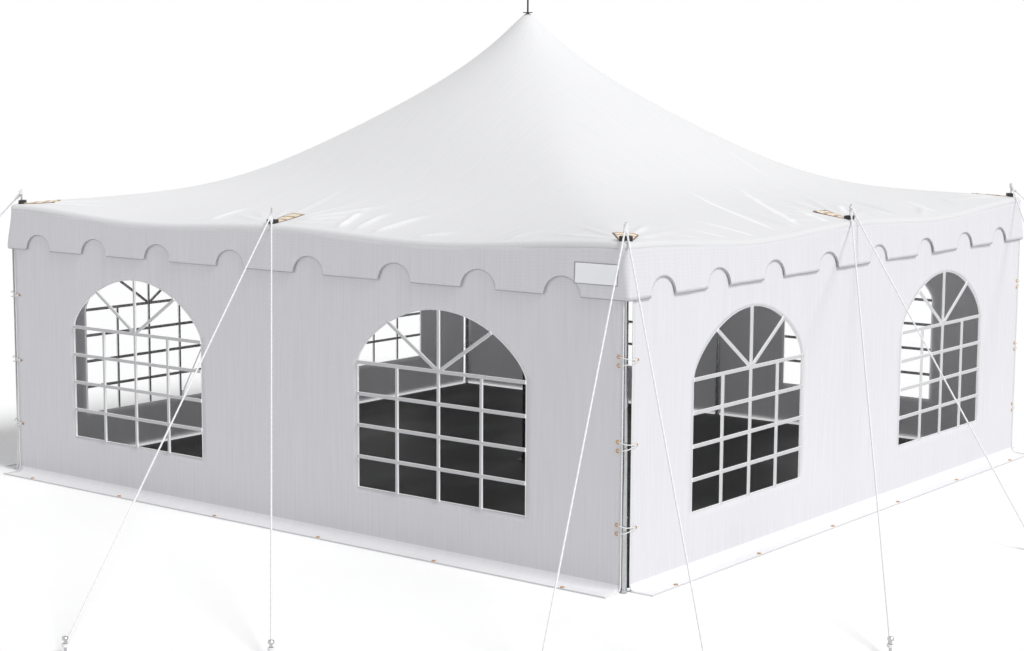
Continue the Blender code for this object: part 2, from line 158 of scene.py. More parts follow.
def new_finish(name, colour, roughness, metallic=0.0):
    """A finish with its node tree, ready for the texture nodes of one kind of piece."""
    finish = bpy.data.materials.new(name)
    finish.use_nodes = True
    shader = finish.node_tree.nodes["Principled BSDF"]
    shader.inputs["Base Color"].default_value = colour
    shader.inputs["Roughness"].default_value = roughness
    shader.inputs["Metallic"].default_value = metallic
    return finish, finish.node_tree.nodes, finish.node_tree.links, shader


def mottle(nodes, links, scale, stretch=EVEN, detail=4.0):
    """Noise over the piece's own metres, stretched along any of its axes."""
    place = nodes.new("ShaderNodeTexCoord")
    size = nodes.new("ShaderNodeMapping")
    size.inputs["Scale"].default_value = stretch
    noise = nodes.new("ShaderNodeTexNoise")
    noise.inputs["Scale"].default_value = scale
    noise.inputs["Detail"].default_value = detail
    links.new(place.outputs["Object"], size.inputs["Vector"])
    links.new(size.outputs["Vector"], noise.inputs["Vector"])
    return noise.outputs["Fac"]


def spread(nodes, links, source, low, high):
    """Stretches the middle of a 0 to 1 texture value over the range that a shader input needs."""
    fit = nodes.new("ShaderNodeMapRange")
    fit.inputs["From Min"].default_value = 0.3
    fit.inputs["From Max"].default_value = 0.7
    fit.inputs["To Min"].default_value = low
    fit.inputs["To Max"].default_value = high
    links.new(source, fit.inputs["Value"])
    return fit.outputs["Result"]


def two_tone(nodes, links, source, first, second):
    """Blends two colours by a texture value."""
    blend = nodes.new("ShaderNodeMix")
    blend.data_type = "RGBA"
    blend.inputs["A"].default_value = first
    blend.inputs["B"].default_value = second
    links.new(source, blend.inputs["Factor"])
    return blend.outputs["Result"]


def relief(nodes, links, shader, source, depth, strength):
    """Bumps the surface by a texture value, to a depth in metres."""
    bump = nodes.new("ShaderNodeBump")
    bump.inputs["Distance"].default_value = depth
    bump.inputs["Strength"].default_value = strength
    links.new(source, bump.inputs["Height"])
    links.new(bump.outputs["Normal"], shader.inputs["Normal"])


def vary(nodes, links, shader, texture, colours, roughness):
    """Varies a finish between two colours, and between two roughnesses, by one texture value."""
    links.new(two_tone(nodes, links, texture, *colours), shader.inputs["Base Color"])
    links.new(spread(nodes, links, texture, *roughness), shader.inputs["Roughness"])


steel, nodes, links, shader = new_finish("galvanised_steel", STEEL_COLOUR, 0.3, metallic=1.0)
spangle = mottle(nodes, links, 60.0, stretch=(1.0, 1.0, 0.25))
vary(nodes, links, shader, spangle, (STEEL_COLOUR, STEEL_DULL_COLOUR), (0.18, 0.32))
drawn_lines = mottle(nodes, links, 300.0, stretch=(1.0, 1.0, 0.05))
relief(nodes, links, shader, drawn_lines, 0.0003, 0.4)
# Painted shade: the centre pole's steel is near-black, darker than bare steel, for the dark it stands in
# inside the tent.
dark_steel_painted_shade, nodes, links, shader = new_finish("dark_steel_painted_shade", DARK_STEEL_PAINTED_SHADE_COLOUR, 0.3, metallic=1.0)
rubbed = mottle(nodes, links, 70.0, stretch=(1.0, 1.0, 0.08))
vary(nodes, links, shader, rubbed, (DARK_STEEL_PAINTED_SHADE_COLOUR, DARK_STEEL_PAINTED_SHADE_WORN_COLOUR), (0.20, 0.36))
relief(nodes, links, shader, rubbed, 0.0003, 0.4)
for name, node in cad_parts.items():
    if name.startswith("side_pole"):
        node.data.materials[0] = steel
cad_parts["centre_pole"].data.materials[0] = dark_steel_painted_shade


# Peak washer: a black moulded rubber disc pushed over the centre pin, so that the crown of the cloth stays
# put and dry. Its shape is the frame's own.
RUBBER_COLOUR = (0.012, 0.012, 0.013, 1.0)
RUBBER_WORN_COLOUR = (0.035, 0.034, 0.034, 1.0)

rubber, nodes, links, shader = new_finish("black_rubber", RUBBER_COLOUR, 0.6)
bloom = mottle(nodes, links, 90.0)
vary(nodes, links, shader, bloom, (RUBBER_COLOUR, RUBBER_WORN_COLOUR), (0.5, 0.75))
relief(nodes, links, shader, bloom, 0.0006, 0.5)
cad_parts["peak_washer"].data.materials[0] = rubber


# Ground sheet: one piece of woven polyethylene laid inside the walls, coloured near-black: painted shade for
# the shaded floor inside the closed tent. Its edge stands up a little and is bound in white webbing, a thin
# line at the foot of each wall whose glow is painted light, for the daylight under the skirt.
SHEET_HALF = 3.045
SHEET_TOP = 0.003
SHEET_CELLS = 110
RIPPLE = 0.0022
FLAT_BY_WALL = 0.25
FLAT_BY_POLE = 0.1
RIPPLE_FADE = 0.3
THREAD_SPACING = 0.006
BINDING_WIDTH = 0.005
BINDING_LIFT = 0.018
BINDING_INSET = 0.001
BINDING_CLEAR = 0.0002
WEBBING_RIB_SPACING = 0.004
SHEET_PAINTED_SHADE_COLOUR = (0.010, 0.010, 0.0105, 1.0)
SHEET_DUSTY_COLOUR = (0.270, 0.266, 0.258, 1.0)
WEBBING_COLOUR = (0.86, 0.86, 0.85, 1.0)
WEBBING_SHADE_COLOUR = (0.74, 0.74, 0.73, 1.0)
WEBBING_PAINTED_GLOW = 0.56


def thread_lines(nodes, links, place, direction, spacing, wander=0.0):
    """Parallel threads across a place output, one every so many metres."""
    threads = nodes.new("ShaderNodeTexWave")
    threads.bands_direction = direction
    threads.inputs["Scale"].default_value = math.pi / 10.0 / spacing
    threads.inputs["Distortion"].default_value = wander
    threads.inputs["Detail"].default_value = 1.0
    links.new(place, threads.inputs["Vector"])
    return threads.outputs["Fac"]


def combine(nodes, links, operation, first, second):
    """One arithmetic step between two texture values, or a texture value and a number."""
    step = nodes.new("ShaderNodeMath")
    step.operation = operation
    links.new(first, step.inputs[0])
    if isinstance(second, float):
        step.inputs[1].default_value = second
    else:
        links.new(second, step.inputs[1])
    return step.outputs["Value"]


def grid_faces(rows, columns, keep=lambda row, column: True):
    """Faces of a grid of points stored row by row, without the cells that are left open."""
    faces = []
    for row in range(rows - 1):
        for column in range(columns - 1):
            if keep(row, column):
                corner = row * columns + column
                faces.append((corner, corner + 1, corner + columns + 1, corner + columns))
    return faces


# Painted shade: the sheet's near-black colour stands in for the shade on the floor inside the tent.
ground_weave_painted_shade, nodes, links, shader = new_finish("ground_weave_painted_shade", SHEET_PAINTED_SHADE_COLOUR, 0.6)
shader.inputs["Specular IOR Level"].default_value = 0.09
place = nodes.new("ShaderNodeTexCoord").outputs["Object"]
dust = mottle(nodes, links, 1.3, stretch=(1.0, 0.5, 1.0), detail=5.0)
dust = combine(nodes, links, "POWER", dust, 3.0)
vary(nodes, links, shader, dust, (SHEET_PAINTED_SHADE_COLOUR, SHEET_DUSTY_COLOUR), (0.50, 0.70))
weave = combine(nodes, links, "MAXIMUM", thread_lines(nodes, links, place, "X", THREAD_SPACING),
                thread_lines(nodes, links, place, "Y", THREAD_SPACING))
relief(nodes, links, shader, weave, 0.0005, 0.35)

steps = np.linspace(-SHEET_HALF, SHEET_HALF, SHEET_CELLS + 1)
east, north = np.meshgrid(steps, steps)
from_wall = SHEET_HALF - np.maximum(abs(east), abs(north))
from_pole = np.hypot(east, north)
loose = np.clip((from_wall - FLAT_BY_WALL) / RIPPLE_FADE, 0.0, 1.0)
loose *= np.clip((from_pole - FLAT_BY_POLE) / RIPPLE_FADE, 0.0, 1.0)
waves = np.sin(east * 3.1 + np.sin(north * 1.3) * 1.4) * np.sin(north * 2.3 + 0.7)
waves += 0.5 * np.sin(east * 7.3 + north * 4.1)
lie = SHEET_TOP + loose * RIPPLE * (1.5 + waves)
ground_cloth = new_piece("ground_cloth", np.stack((east, north, lie), axis=-1).reshape(-1, 3),
                         grid_faces(SHEET_CELLS + 1, SHEET_CELLS + 1), ground_weave_painted_shade, smooth_angle=60)
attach(ground_cloth, "root")
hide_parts("ground_sheet")

webbing, nodes, links, shader = new_finish("white_webbing", WEBBING_COLOUR, 0.6)
place = nodes.new("ShaderNodeTexCoord").outputs["Object"]
ribs = combine(nodes, links, "ADD", thread_lines(nodes, links, place, "X", WEBBING_RIB_SPACING),
               thread_lines(nodes, links, place, "Y", WEBBING_RIB_SPACING))
worn = mottle(nodes, links, 14.0)
vary(nodes, links, shader, worn, (WEBBING_COLOUR, WEBBING_SHADE_COLOUR), (0.5, 0.7))
relief(nodes, links, shader, ribs, 0.0004, 0.5)
# Painted light: the binding on the ground sheet has a glow of its own, for daylight seeping under the skirt.
ground_webbing_painted_glow = webbing.copy()
ground_webbing_painted_glow.name = "ground_webbing_painted_glow"
add_glow(ground_webbing_painted_glow.node_tree.nodes["Principled BSDF"], WEBBING_PAINTED_GLOW)
outer, inner = SHEET_HALF - BINDING_INSET, SHEET_HALF - BINDING_WIDTH
strip = [(-outer, -outer), (outer, -outer), (inner, -inner), (-inner, -inner)]
verts, faces = [], []
for side in range(4):
    turn = Matrix.Rotation(side * math.pi / 2, 3, "Z")
    first = len(verts)
    for height in (SHEET_TOP + BINDING_CLEAR, SHEET_TOP + BINDING_LIFT):
        verts += [turn @ Vector((x, y, height)) for x, y in strip]
    faces += [(first + a, first + b, first + c, first + d) for a, b, c, d in
              ((4, 5, 6, 7), (3, 2, 1, 0), (0, 1, 5, 4), (2, 3, 7, 6), (1, 2, 6, 5), (3, 0, 4, 7))]
ground_binding = new_piece("ground_binding", verts, faces, ground_webbing_painted_glow)
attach(ground_binding, "root")


# Roof cover: four gores of white coated polyethylene welded into one peaked cover, pulled tight between the
# centre pole and the eight side pins. It rolls over the eave, and folds run out from each pin. The ridges of
# the folds carry a painted highlight, the rolled eave painted shade towards its lower end, and the cover
# painted shade towards the sunlit +X side with painted light towards -X.
COVER_HALF = 3.062
CORNER_ROUND = 0.060
EAVE_ROLL = 0.040
CROWN_HOLE = 0.0085
COVER_COLUMNS = 256
CROWN_RINGS = 34
EAVE_RINGS = 46
EAVE_RINGS_FROM = 0.70
ROLL_STEPS = 7
PIN_CORNER = 2.985
PIN_MIDDLE = 3.000
FRONT_PIN_OFFSET = 0.090
EAVE_AT = 3.0
EAVE_HEIGHT = 2.243
OUTER_SLOPE = 0.117
BEND_AT = 1.753
BEND_WIDTH = 0.246
BEND_RISE = 0.540
CROWN_WIDTH = 0.278
CROWN_RISE = 0.322
CROWN_BLUNTNESS = 0.05
EAVE_SAG = 0.056
MIDDLE_DROP = 0.030
HIP_SOFTNESS = 0.22
HIP_SOFT_UP_TO = 2.0
HIP_SOFT_FADE = 0.8
ROUND_UP_TO = 0.2
CLOTH_WHITE = (0.812, 0.812, 0.820, 1.0)
CLOTH_SHADE = (0.735, 0.736, 0.750, 1.0)
COVER_GRID = 0.022
# Painted shade towards the sunlit +X side and painted light towards -X, as a value scale across the cover.
PAINTED_TONE_LEFT_X, PAINTED_TONE_RIGHT_X = -2.0, 2.4
PAINTED_LIGHT_LEFT_VALUE, PAINTED_SHADE_RIGHT_VALUE = 1.05, 0.955
# Painted highlight on the ridges of the folds, over this range of fold height.
CREASE_PAINTED_HIGHLIGHT = 0.16
CREASE_HIGHLIGHT_FROM, CREASE_HIGHLIGHT_OVER = 0.005, 0.008
# Painted shade down the rolled eave, most at its lower end.
EAVE_PAINTED_SHADE = 0.75


def smoothstep(value):
    """0 below 0, 1 above 1, and a soft curve between them."""
    value = np.clip(value, 0.0, 1.0)
    return value * value * (3 - 2 * value)


def roof_height(x, y):
    """Height of the taut cloth: round level lines by the crown, square ones by the eave."""
    reach = np.maximum(abs(x), abs(y))
    other = np.minimum(abs(x), abs(y))
    soft = HIP_SOFTNESS * (1 - smoothstep((reach - HIP_SOFT_UP_TO) / HIP_SOFT_FADE))
    reach = (reach + other + np.hypot(reach - other, soft)) / 2
    squareness = smoothstep((reach - ROUND_UP_TO) / (EAVE_AT - ROUND_UP_TO))
    along_hip = np.hypot(x, y) / math.sqrt(2) * (1 - squareness) + reach * squareness
    bend = BEND_WIDTH * np.log1p(np.exp((BEND_AT - along_hip) / BEND_WIDTH))
    crown = CROWN_RISE * np.exp(-np.hypot(along_hip, CROWN_BLUNTNESS) / CROWN_WIDTH)
    height = EAVE_HEIGHT + OUTER_SLOPE * (EAVE_AT - along_hip) + BEND_RISE * bend + crown
    near_eave = (reach / EAVE_AT) ** 5.0
    sag = EAVE_SAG * np.sin(math.pi * other / EAVE_AT) ** 2
    middle = MIDDLE_DROP * np.cos(math.pi * other / EAVE_AT / 2) ** 2
    return height - near_eave * (sag + middle)


PINS = {
    "front_right": (PIN_CORNER, -PIN_CORNER),
    "front_middle": (-FRONT_PIN_OFFSET, -PIN_MIDDLE),
    "right_middle": (PIN_MIDDLE, 0.0),
    "back_right": (PIN_CORNER, PIN_CORNER),
    "back_left": (-PIN_CORNER, PIN_CORNER),
    "back_middle": (FRONT_PIN_OFFSET, PIN_MIDDLE),
    "left_middle": (-PIN_MIDDLE, 0.0),
    "front_left": (-PIN_CORNER, -PIN_CORNER),
}

# The folds that fan out from each pin: their turns from straight inward, and the least and most that they
# start and end from the pin, and are wide and high.
FAN_TURNS = (-1.25, -0.95, -0.62, -0.3, 0.28, 0.6, 0.98, 1.22)
FAN_TURN_SPREAD = 0.08
FAN_START = (0.10, 0.18)
FAN_END = (0.55, 1.15)
FAN_WIDTH = (0.024, 0.034)
FAN_HEIGHT = (0.006, 0.013)

# The long folds, as start, end, width and height. Each is there again, turned half way round the tent.
LONG_FOLDS = (
    ((0.56, -3.04), (0.35, -2.42), 0.026, 0.018),
    ((0.70, -3.02), (0.60, -2.40), 0.026, 0.015),
    ((0.86, -3.04), (1.00, -2.38), 0.028, 0.018),
    ((-0.80, -3.02), (-0.72, -2.45), 0.034, 0.014),
    ((1.20, -3.02), (1.62, -2.78), 0.028, 0.016),
    ((2.02, -3.02), (2.20, -2.60), 0.028, 0.010),
    ((3.06, -1.06), (1.75, -0.62), 0.027, 0.019),
    ((3.10, -0.79), (1.75, 0.19), 0.026, 0.018),
    ((3.12, -1.36), (2.42, -1.51), 0.026, 0.017),
    ((3.12, -1.65), (2.60, -1.94), 0.026, 0.014),
    ((3.10, -1.80), (2.80, -2.42), 0.026, 0.014),
    ((2.05, 0.72), (1.10, 0.65), 0.030, 0.009),
    ((3.10, -0.37), (2.50, -0.12), 0.026, 0.014),
    ((3.02, 0.85), (2.45, 0.66), 0.028, 0.013),
    ((3.02, 1.55), (2.50, 1.70), 0.030, 0.013),
)
FOLD_GROWS_OVER = 0.25
FOLD_FADES_OVER = 0.55
FOLDS_FLAT_FROM = 2.93
FOLDS_FLATTEN_OVER = 0.09


def tension_folds():
    """Folds of the taut cover as (start, end, width, height): fans at the pins and a few long ones."""
    chance = random.Random(11)
    folds = []
    for x, y in PINS.values():
        inward = math.atan2(-y, -x)
        for turn in FAN_TURNS:
            angle = inward + turn + chance.uniform(-FAN_TURN_SPREAD, FAN_TURN_SPREAD)
            near, far = chance.uniform(*FAN_START), chance.uniform(*FAN_END)
            start = (x + near * math.cos(angle), y + near * math.sin(angle))
            end = (x + far * math.cos(angle), y + far * math.sin(angle))
            folds.append((start, end, chance.uniform(*FAN_WIDTH), chance.uniform(*FAN_HEIGHT)))
    for (ax, ay), (bx, by), width, height in LONG_FOLDS:
        for turn in (1, -1):
            folds.append(((turn * ax, turn * ay), (turn * bx, turn * by), width, height))
    return folds


def fold_height(x, y, folds):
    """Height that the folds add at each point. It fades out where the cloth bends over the eave."""
    total = np.zeros_like(x)
    for (ax, ay), (bx, by), width, height in folds:
        dx, dy = bx - ax, by - ay
        length = math.hypot(dx, dy)
        share = ((x - ax) * dx + (y - ay) * dy) / length ** 2
        off = ((x - ax) * dy - (y - ay) * dx) / length
        ends = smoothstep(share / FOLD_GROWS_OVER) * smoothstep((1 - share) / FOLD_FADES_OVER)
        total += height * np.exp(-(off / width) ** 2) * ends
    reach = np.maximum(abs(x), abs(y))
    return total * (1.0 - smoothstep((reach - FOLDS_FLAT_FROM) / FOLDS_FLATTEN_OVER))


FOLDS = tension_folds()


def cover_height(x, y):
    """Top of the roof cover with its folds."""
    x, y = np.asarray(x, float), np.asarray(y, float)
    return roof_height(x, y) + fold_height(x, y, FOLDS)


def eave_line(count):
    """Even points round the front side of the eave, hip to hip, with the way out at each."""
    straight = COVER_HALF - CORNER_ROUND
    reach = straight + CORNER_ROUND * math.pi / 4
    path = np.linspace(-reach, reach, count + 1)
    angle = np.sign(path) * np.maximum(abs(path) - straight, 0.0) / CORNER_ROUND
    way = np.stack((np.sin(angle), np.cos(angle)), axis=-1)
    middle = np.stack((np.clip(path, -straight, straight), np.full_like(path, straight)), axis=-1)
    return middle + way * CORNER_ROUND, way


def cloth_finish(name, white, shade, streak, grid):
    """White coated cloth: a woven scrim under a smooth coat, with faint streaks down the fall."""
    finish, nodes, links, shader = new_finish(name, white, 0.5)
    cloth_map = nodes.new("ShaderNodeUVMap")
    cloth_map.uv_map = "cloth"
    place = cloth_map.outputs["UV"]
    size = nodes.new("ShaderNodeMapping")
    size.inputs["Scale"].default_value = (48.0, 1.7, 1.0)
    streaks = nodes.new("ShaderNodeTexNoise")
    streaks.inputs["Scale"].default_value = 1.0
    streaks.inputs["Detail"].default_value = 5.0
    links.new(place, size.inputs["Vector"])
    links.new(size.outputs["Vector"], streaks.inputs["Vector"])
    warp = thread_lines(nodes, links, place, "X", grid, wander=1.2)
    weft = thread_lines(nodes, links, place, "Y", grid * 1.15, wander=1.2)
    scrim = combine(nodes, links, "MULTIPLY", warp, weft)
    band = spread(nodes, links, streaks.outputs["Fac"], 0.0, streak)
    tone = combine(nodes, links, "MULTIPLY", band, combine(nodes, links, "ADD", scrim, 0.7))
    tone = combine(nodes, links, "ADD", tone, combine(nodes, links, "MULTIPLY", scrim, 0.12))
    links.new(two_tone(nodes, links, tone, white, shade), shader.inputs["Base Color"])
    links.new(spread(nodes, links, streaks.outputs["Fac"], 0.42, 0.58), shader.inputs["Roughness"])
    height = combine(nodes, links, "ADD", scrim, streaks.outputs["Fac"])
    relief(nodes, links, shader, height, 0.0012, 0.35)
    return finish


def map_cloth(piece, across, down):
    """Gives a piece its cloth's own metres, across and down the fall, for the weave to follow."""
    mesh = piece.data
    values = np.stack((across, down), axis=-1)
    if len(values) == len(mesh.vertices):
        corner_points = np.empty(len(mesh.loops), dtype=np.int32)
        mesh.loops.foreach_get("vertex_index", corner_points)
        values = values[corner_points]
    layer = mesh.uv_layers.new(name="cloth")
    layer.data.foreach_set("uv", values.astype(np.float32).ravel())


def ring_faces(rings, around):
    """Faces between closed rings of points that are stored one after the other."""
    faces = []
    for ring in range(rings - 1):
        for spot in range(around):
            beside = (spot + 1) % around
            faces.append((ring * around + spot, (ring + 1) * around + spot,
                          (ring + 1) * around + beside, ring * around + beside))
    return faces


roof_cloth = cloth_finish("roof_cloth", CLOTH_WHITE, CLOTH_SHADE, 0.30, COVER_GRID)
nodes, links = roof_cloth.node_tree.nodes, roof_cloth.node_tree.links
shader = nodes["Principled BSDF"]
place = nodes.new("ShaderNodeSeparateXYZ")
links.new(nodes.new("ShaderNodeTexCoord").outputs["Object"], place.inputs["Vector"])
# Painted shade and light: the cover's colour is scaled darker towards +X, where the sun falls, and lighter
# towards -X.
painted_side_shade = nodes.new("ShaderNodeMapRange")
painted_side_shade.inputs["From Min"].default_value = PAINTED_TONE_LEFT_X
painted_side_shade.inputs["From Max"].default_value = PAINTED_TONE_RIGHT_X
painted_side_shade.inputs["To Min"].default_value = PAINTED_LIGHT_LEFT_VALUE
painted_side_shade.inputs["To Max"].default_value = PAINTED_SHADE_RIGHT_VALUE
painted_tone = nodes.new("ShaderNodeHueSaturation")
# Painted highlight on the fold ridges and painted shade down the rolled eave, from a point attribute.
painted_marks = nodes.new("ShaderNodeAttribute")
painted_marks.attribute_name = "painted_highlight_and_shade"
crease_highlight = combine(nodes, links, "MULTIPLY", painted_marks.outputs["Fac"], CREASE_PAINTED_HIGHLIGHT)
links.new(place.outputs["X"], painted_side_shade.inputs["Value"])
links.new(combine(nodes, links, "ADD", painted_side_shade.outputs["Result"], crease_highlight), painted_tone.inputs["Value"])
links.new(shader.inputs["Base Color"].links[0].from_socket, painted_tone.inputs["Color"])
links.new(painted_tone.outputs["Color"], shader.inputs["Base Color"])

edge, way = eave_line(COVER_COLUMNS)
spokes = (np.arange(COVER_COLUMNS + 1) / COVER_COLUMNS - 0.5) * math.pi / 2
crown = np.stack((np.sin(spokes), np.cos(spokes)), axis=-1) * CROWN_HOLE
bend_centre = edge - way * EAVE_ROLL
bend_height = roof_height(bend_centre[:, 0], bend_centre[:, 1])
rings = []
crown_rings = (np.arange(CROWN_RINGS) / CROWN_RINGS) ** 1.3 * EAVE_RINGS_FROM
for share in np.concatenate((crown_rings, np.linspace(EAVE_RINGS_FROM, 1.0, EAVE_RINGS + 1))):
    plan = crown + (bend_centre - crown) * share
    rings.append(np.column_stack((plan[:, 0], -plan[:, 1], cover_height(plan[:, 0], -plan[:, 1]))))
for step in range(1, ROLL_STEPS + 1):
    angle = math.pi / 2 * step / ROLL_STEPS
    plan = edge - way * EAVE_ROLL * (1 - math.sin(angle))
    rings.append(np.column_stack((plan[:, 0], -plan[:, 1], bend_height - EAVE_ROLL * (1 - math.cos(angle)))))
gore = np.stack(rings)
seam = gore[:, COVER_COLUMNS // 2]
fall = np.concatenate(([0.0], np.cumsum(np.linalg.norm(np.diff(seam, axis=0), axis=-1))))
side_turns = [np.array(Matrix.Rotation(side * math.pi / 2, 3, "Z")) for side in range(4)]
verts = np.concatenate([ring[:-1] @ turn.T for ring in gore for turn in side_turns])
around = 4 * COVER_COLUMNS
across, down = [], []
for ring in range(len(gore) - 1):
    for spot in range(around):
        local = spot % COVER_COLUMNS
        across += [gore[ring, local, 0], gore[ring + 1, local, 0],
                   gore[ring + 1, local + 1, 0], gore[ring, local + 1, 0]]
        down += [fall[ring], fall[ring + 1], fall[ring + 1], fall[ring]]
roof_cover = new_piece("roof_cover", verts, ring_faces(len(gore), around), roof_cloth, smooth_angle=80)
map_cloth(roof_cover, np.array(across), np.array(down))
creases = fold_height(verts[:, 0], verts[:, 1], FOLDS)
# Painted highlight where the folds stand highest.
painted_highlight_and_shade = np.clip((creases - CREASE_HIGHLIGHT_FROM) / CREASE_HIGHLIGHT_OVER, 0.0, 1.0)
# Painted shade down the rolled eave, darker towards its lower end.
roll_first = len(verts) - ROLL_STEPS * around
painted_highlight_and_shade[roll_first:] -= EAVE_PAINTED_SHADE * np.repeat(np.arange(1, ROLL_STEPS + 1) / ROLL_STEPS, around)
roof_cover.data.attributes.new("painted_highlight_and_shade", "FLOAT", "POINT").data.foreach_set("value", painted_highlight_and_shade)
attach(roof_cover, "root")
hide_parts("roof_panel_front", "roof_panel_right", "roof_panel_back", "roof_panel_left")


# Valance: one scalloped strip of the same cloth all the way round, sewn in behind the rolled eave. It leans
# out a little at the bottom. A grey tape behind its cut edge is a painted shadow: a dark line that stands in
# for the shadow under the edge. Its corners are round at the top.
VALANCE_BOTTOM = 1.880
VALANCE_FLARE = 0.015
VALANCE_TOP = 2.180
SEAM_TUCK = 0.0008
SEAM_LAP = 0.006
CORNER_SHARP = 0.018
CORNER_SHARP_UP_TO = 1.90
CORNER_ROUNDS_OVER = 0.26
CORNER_PATH_START = 2.880
SCALLOP_CENTRES = (-2.675, -1.989, -1.251, -0.459, 0.335, 1.145, 1.876, 2.560)
SCALLOP_WIDTH = 0.295
SCALLOP_RISE = 0.125
SCALLOP_STEPS = 18
TAB_STEP = 0.03
VALANCE_ROWS = 12
CORNER_STEPS = 10
VALANCE_CLOTH = 0.0022
VALANCE_GRID = 0.020
RIPPLE_HEIGHT = 0.0020
RIPPLE_FADES_OVER = 0.3
TAPE_DROP = 0.007
TAPE_BEHIND = 0.005
TAPE_THICKNESS = 0.003
TAPE_LAP = -0.02
VALANCE_WHITE = (0.720, 0.717, 0.741, 1.0)
VALANCE_SHADE = (0.640, 0.637, 0.664, 1.0)
SHADOW_LINE_TAPE_COLOUR = (0.480, 0.475, 0.490, 1.0)


def corner_radius(height):
    """Radius of the valance's corner: nearly sharp at the free edge, as round as the eave above it."""
    rounding = float(smoothstep((height - CORNER_SHARP_UP_TO) / CORNER_ROUNDS_OVER))
    return CORNER_SHARP + (CORNER_ROUND - CORNER_SHARP) * rounding


def valance_point(path, height):
    """A point on the front valance at a distance along it from the middle, and the way out there.

    Past CORNER_PATH_START the strip goes round to the hip, which lies 1.0 beyond it.
    """
    top = VALANCE_TOP
    lean = VALANCE_FLARE * min(max(top - height, 0.0) / (top - VALANCE_BOTTOM), 1.0)
    half = COVER_HALF - SEAM_TUCK + lean
    radius = corner_radius(height)
    straight = half - radius
    rest = max(abs(path) - CORNER_PATH_START, 0.0) * (straight - CORNER_PATH_START + radius * math.pi / 4)
    angle = max(rest - (straight - CORNER_PATH_START), 0.0) / radius
    along = min(min(abs(path), CORNER_PATH_START) + rest, straight)
    side_sign = -1.0 if path < 0 else 1.0
    way = Vector((side_sign * math.sin(angle), math.cos(angle)))
    return Vector((side_sign * along, straight)) + way * radius, way


def seam_height(path):
    """Height of the valance's seam, just inside the end of the rolled eave."""
    place, way = valance_point(path, VALANCE_TOP)
    inner = place - way * (EAVE_ROLL - SEAM_TUCK)
    return float(roof_height(inner.x, inner.y)) - EAVE_ROLL + SEAM_LAP


def scallop_line():
    """(distance along, height) of the valance's lower edge from one corner's start to the other."""
    spots = []
    for centre in SCALLOP_CENTRES:
        for step in range(SCALLOP_STEPS + 1):
            angle = math.pi * step / SCALLOP_STEPS
            spots.append((centre - SCALLOP_WIDTH / 2 * math.cos(angle),
                          VALANCE_BOTTOM + SCALLOP_RISE * math.sin(angle)))
    tabs = [-CORNER_PATH_START] + [along for along, height in spots[SCALLOP_STEPS::SCALLOP_STEPS + 1]]
    starts = [along for along, height in spots[::SCALLOP_STEPS + 1]] + [CORNER_PATH_START]
    for begin, end in zip(tabs, starts):
        count = max(int((end - begin) / TAB_STEP), 2)
        spots += [(begin + (end - begin) * i / count, VALANCE_BOTTOM) for i in range(1, count)]
    spots += [(-CORNER_PATH_START, VALANCE_BOTTOM), (CORNER_PATH_START, VALANCE_BOTTOM)]
    for step in range(1, CORNER_STEPS + 1):
        path = CORNER_PATH_START + step / CORNER_STEPS
        spots += [(path, VALANCE_BOTTOM), (-path, VALANCE_BOTTOM)]
    return sorted(spots)


def ripple(path, share, seed):
    """Soft waves of the valance, none at the eave and most at its free edge."""
    fade = share * smoothstep((CORNER_PATH_START - abs(path)) / RIPPLE_FADES_OVER)
    wave = math.sin(path * 5.1 + seed) + 0.6 * math.sin(path * 11.7 + 2.1 * seed)
    wave += 0.4 * math.sin(path * 23.0)
    return RIPPLE_HEIGHT * float(fade) * wave


def thicken(piece, thickness):
    """Gives an open sheet its thickness, inwards from its outer face."""
    cloth = piece.modifiers.new("cloth", "SOLIDIFY")
    cloth.thickness = thickness
    cloth.offset = -1.0
    return cloth


def tape_finish(name, colour, roughness, grain, blotches, rough_range):
    """Plain sewn tape: fine grained, and rougher in some places than in others."""
    finish, nodes, links, shader = new_finish(name, colour, roughness)
    relief(nodes, links, shader, mottle(nodes, links, grain), 0.0004, 0.5)
    links.new(spread(nodes, links, mottle(nodes, links, blotches), *rough_range), shader.inputs["Roughness"])
    return finish


valance_cloth = cloth_finish("valance_cloth", VALANCE_WHITE, VALANCE_SHADE, 0.55, VALANCE_GRID)
# Painted shadow: the grey tape stands in for the dark shadow line under the valance's cut edge.
tape = tape_finish("grey_edge_tape_painted_shadow", SHADOW_LINE_TAPE_COLOUR, 0.8, 400.0, 30.0, (0.7, 0.9))

line = scallop_line()
round_line = [(side, path, bottom) for side in range(4) for path, bottom in line[:-1]]
around = len(round_line)
verts = []
for row in range(VALANCE_ROWS + 1):
    share = row / VALANCE_ROWS
    for side, path, bottom in round_line:
        top = seam_height(path)
        height = top + (bottom - top) * share
        place, way = valance_point(path, height)
        place = place + way * ripple(path, share, side + 1.0)
        verts.append(side_turns[side] @ np.array((place.x, -place.y, height)))
across, down = [], []
for row in range(VALANCE_ROWS):
    for column, (side, path, bottom) in enumerate(round_line):
        next_path = line[column % (len(line) - 1) + 1][0]
        across += [path, path, next_path, next_path]
        drop = (VALANCE_TOP - bottom) / VALANCE_ROWS
        down += [row * drop, (row + 1) * drop, (row + 1) * drop, row * drop]
valance_strip = new_piece("valance_strip", verts, ring_faces(VALANCE_ROWS + 1, around), valance_cloth,
                          smooth_angle=70)
map_cloth(valance_strip, np.array(across), np.array(down))
thicken(valance_strip, VALANCE_CLOTH)
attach(valance_strip, "root")
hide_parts("valance_front", "valance_right", "valance_back", "valance_left")

